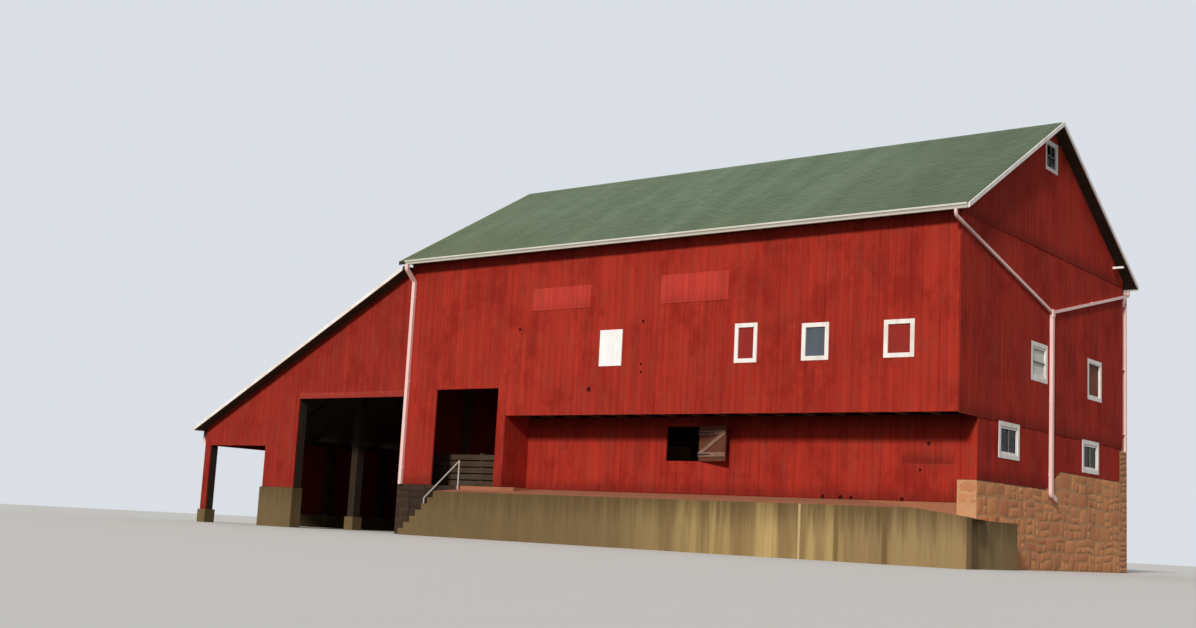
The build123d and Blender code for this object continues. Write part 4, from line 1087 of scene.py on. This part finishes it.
def hinge_straps(name, levels, pin, turn):
    """Half width = 28 mm * (1 - 0.55 s), closed by a round tip over the last tenth of s."""
    length, half_width = 0.5, 0.028
    pin, along = np.array(pin), np.array((cos(turn), sin(turn)))
    outward = np.array((sin(turn), -cos(turn)))
    share = np.array([0.0, 0.02, 0.2, 0.4, 0.6, 0.8, 0.9, 0.94, 0.97, 0.99, 1.0])[:, None]
    tip = np.sqrt(np.clip(1 - (np.clip(share - 0.9, 0, 1) / 0.1001) ** 2, 0, 1))
    half = half_width * (1 - 0.55 * share) * tip
    side = np.array([-1.0, -0.8, 0.8, 1.0, 0.8, -0.8])
    lift = np.array([0.002, 0.007, 0.007, 0.002, 0.0, 0.0])
    knuckle = 0.012 * np.exp(-(share / 0.03) ** 2)
    up = np.array(levels)[:, None, None] + half * side
    away = 0 * up + lift * (0.4 + 0.6 * tip) + (lift > 0.001) * knuckle
    plan = pin + (0 * up + share * length)[..., None] * along + away[..., None] * outward
    return put_mesh(name, np.concatenate([plan, up[..., None]], -1),
                    stick_quads(len(share), ((5, 2, 1, 0), (5, 4, 3, 2))), iron, "gutter_metal")


strap_inset = 0.18
hinge_straps("hatch_hinges", (hatch_low.z + strap_inset, hatch_high.z - strap_inset), hatch_pin,
             -swing)

# %% [markdown]
# ## Light and camera
#
# The photograph has a low, hazy sun in front, a little to the right: the front glows, and the
# gable lies almost in shade. Floor and sky are plain. They are pale where the camera sees them,
# also in gloss and through glass, and dimmer in the light that they give. The camera stands
# where the photographer did, turned to the left, up a little, and tilted by three degrees.

# %% Stage the picture


def stand_camera(place, yaw, pitch, roll, lens):
    """Camera axes turned by yaw about z, pitch about its right and roll about its view."""
    forward = np.array((-sin(yaw) * cos(pitch), cos(yaw) * cos(pitch), sin(pitch)))
    right = np.array((cos(yaw), sin(yaw), 0.0))
    upward = np.cross(right, forward)
    rolled_right = right * cos(roll) + upward * sin(roll)
    rolled_up = upward * cos(roll) - right * sin(roll)
    axes = Matrix([rolled_right, rolled_up, -forward]).transposed().to_4x4()
    camera = put_object("camera", bpy.data.cameras.new("camera"))
    camera.data.lens, camera.data.sensor_width = lens, 36.0
    camera.data.clip_end = 500.0
    camera.matrix_world = Matrix.Translation(place) @ axes
    bpy.context.scene.camera = camera
    return camera


def seen_rays(paint):
    """1 for the rays of the camera, of gloss and through glass, 0 for the light on the barn."""
    camera, gloss, through = (paint.node("ShaderNodeLightPath", output=f"Is {kind} Ray")
                              for kind in ("Camera", "Glossy", "Transmission"))
    return (camera + gloss + through).between(0.0, 1.0)


def light_barn():
    """A sun for the front, a pale sky for the shade, and a pale floor that nothing stands on."""
    sun = put_object("sun", bpy.data.lights.new("sun", "SUN"))
    sun.data.energy, sun.data.angle = 2.75, radians(8.0)
    sun.data.color = (1.0, 0.97, 0.92)
    toward_sun = Vector((0.20, -0.850, 0.487))
    sun.rotation_euler = toward_sun.to_track_quat("Z", "Y").to_euler()
    sky = Paint("sky", bpy.data.worlds)
    backdrop = sky.node("ShaderNodeBackground", {}, {
        "Color": (0.86, 0.90, 0.96, 1.0), "Strength": 0.40 + 0.42 * seen_rays(sky)})
    end = sky.tree.nodes.new("ShaderNodeOutputWorld")
    sky.tree.links.new(backdrop.socket, end.inputs["Surface"])
    bpy.context.scene.world = sky.owner
    half_side, north, level = 90, 20, -0.002
    mesh = bpy.data.meshes.new("floor")
    mesh.from_pydata([(x * half_side, y * half_side + north, level)
                      for x, y in ((-1, -1), (1, -1), (1, 1), (-1, 1))], [], [(0, 1, 2, 3)])
    ground = Paint("pale_floor")
    pale = ground.mix(seen_rays(ground), (112, 110, 100), (214, 212, 206))
    mesh.materials.append(ground.finish(pale, 0.9))
    floor = put_object("floor", mesh)


stand_camera((28.3855, -37.1125, 0.427), yaw=0.674, pitch=0.148, roll=0.053, lens=43.637)
light_barn()
bpy.context.scene.view_settings.view_transform = "Standard"
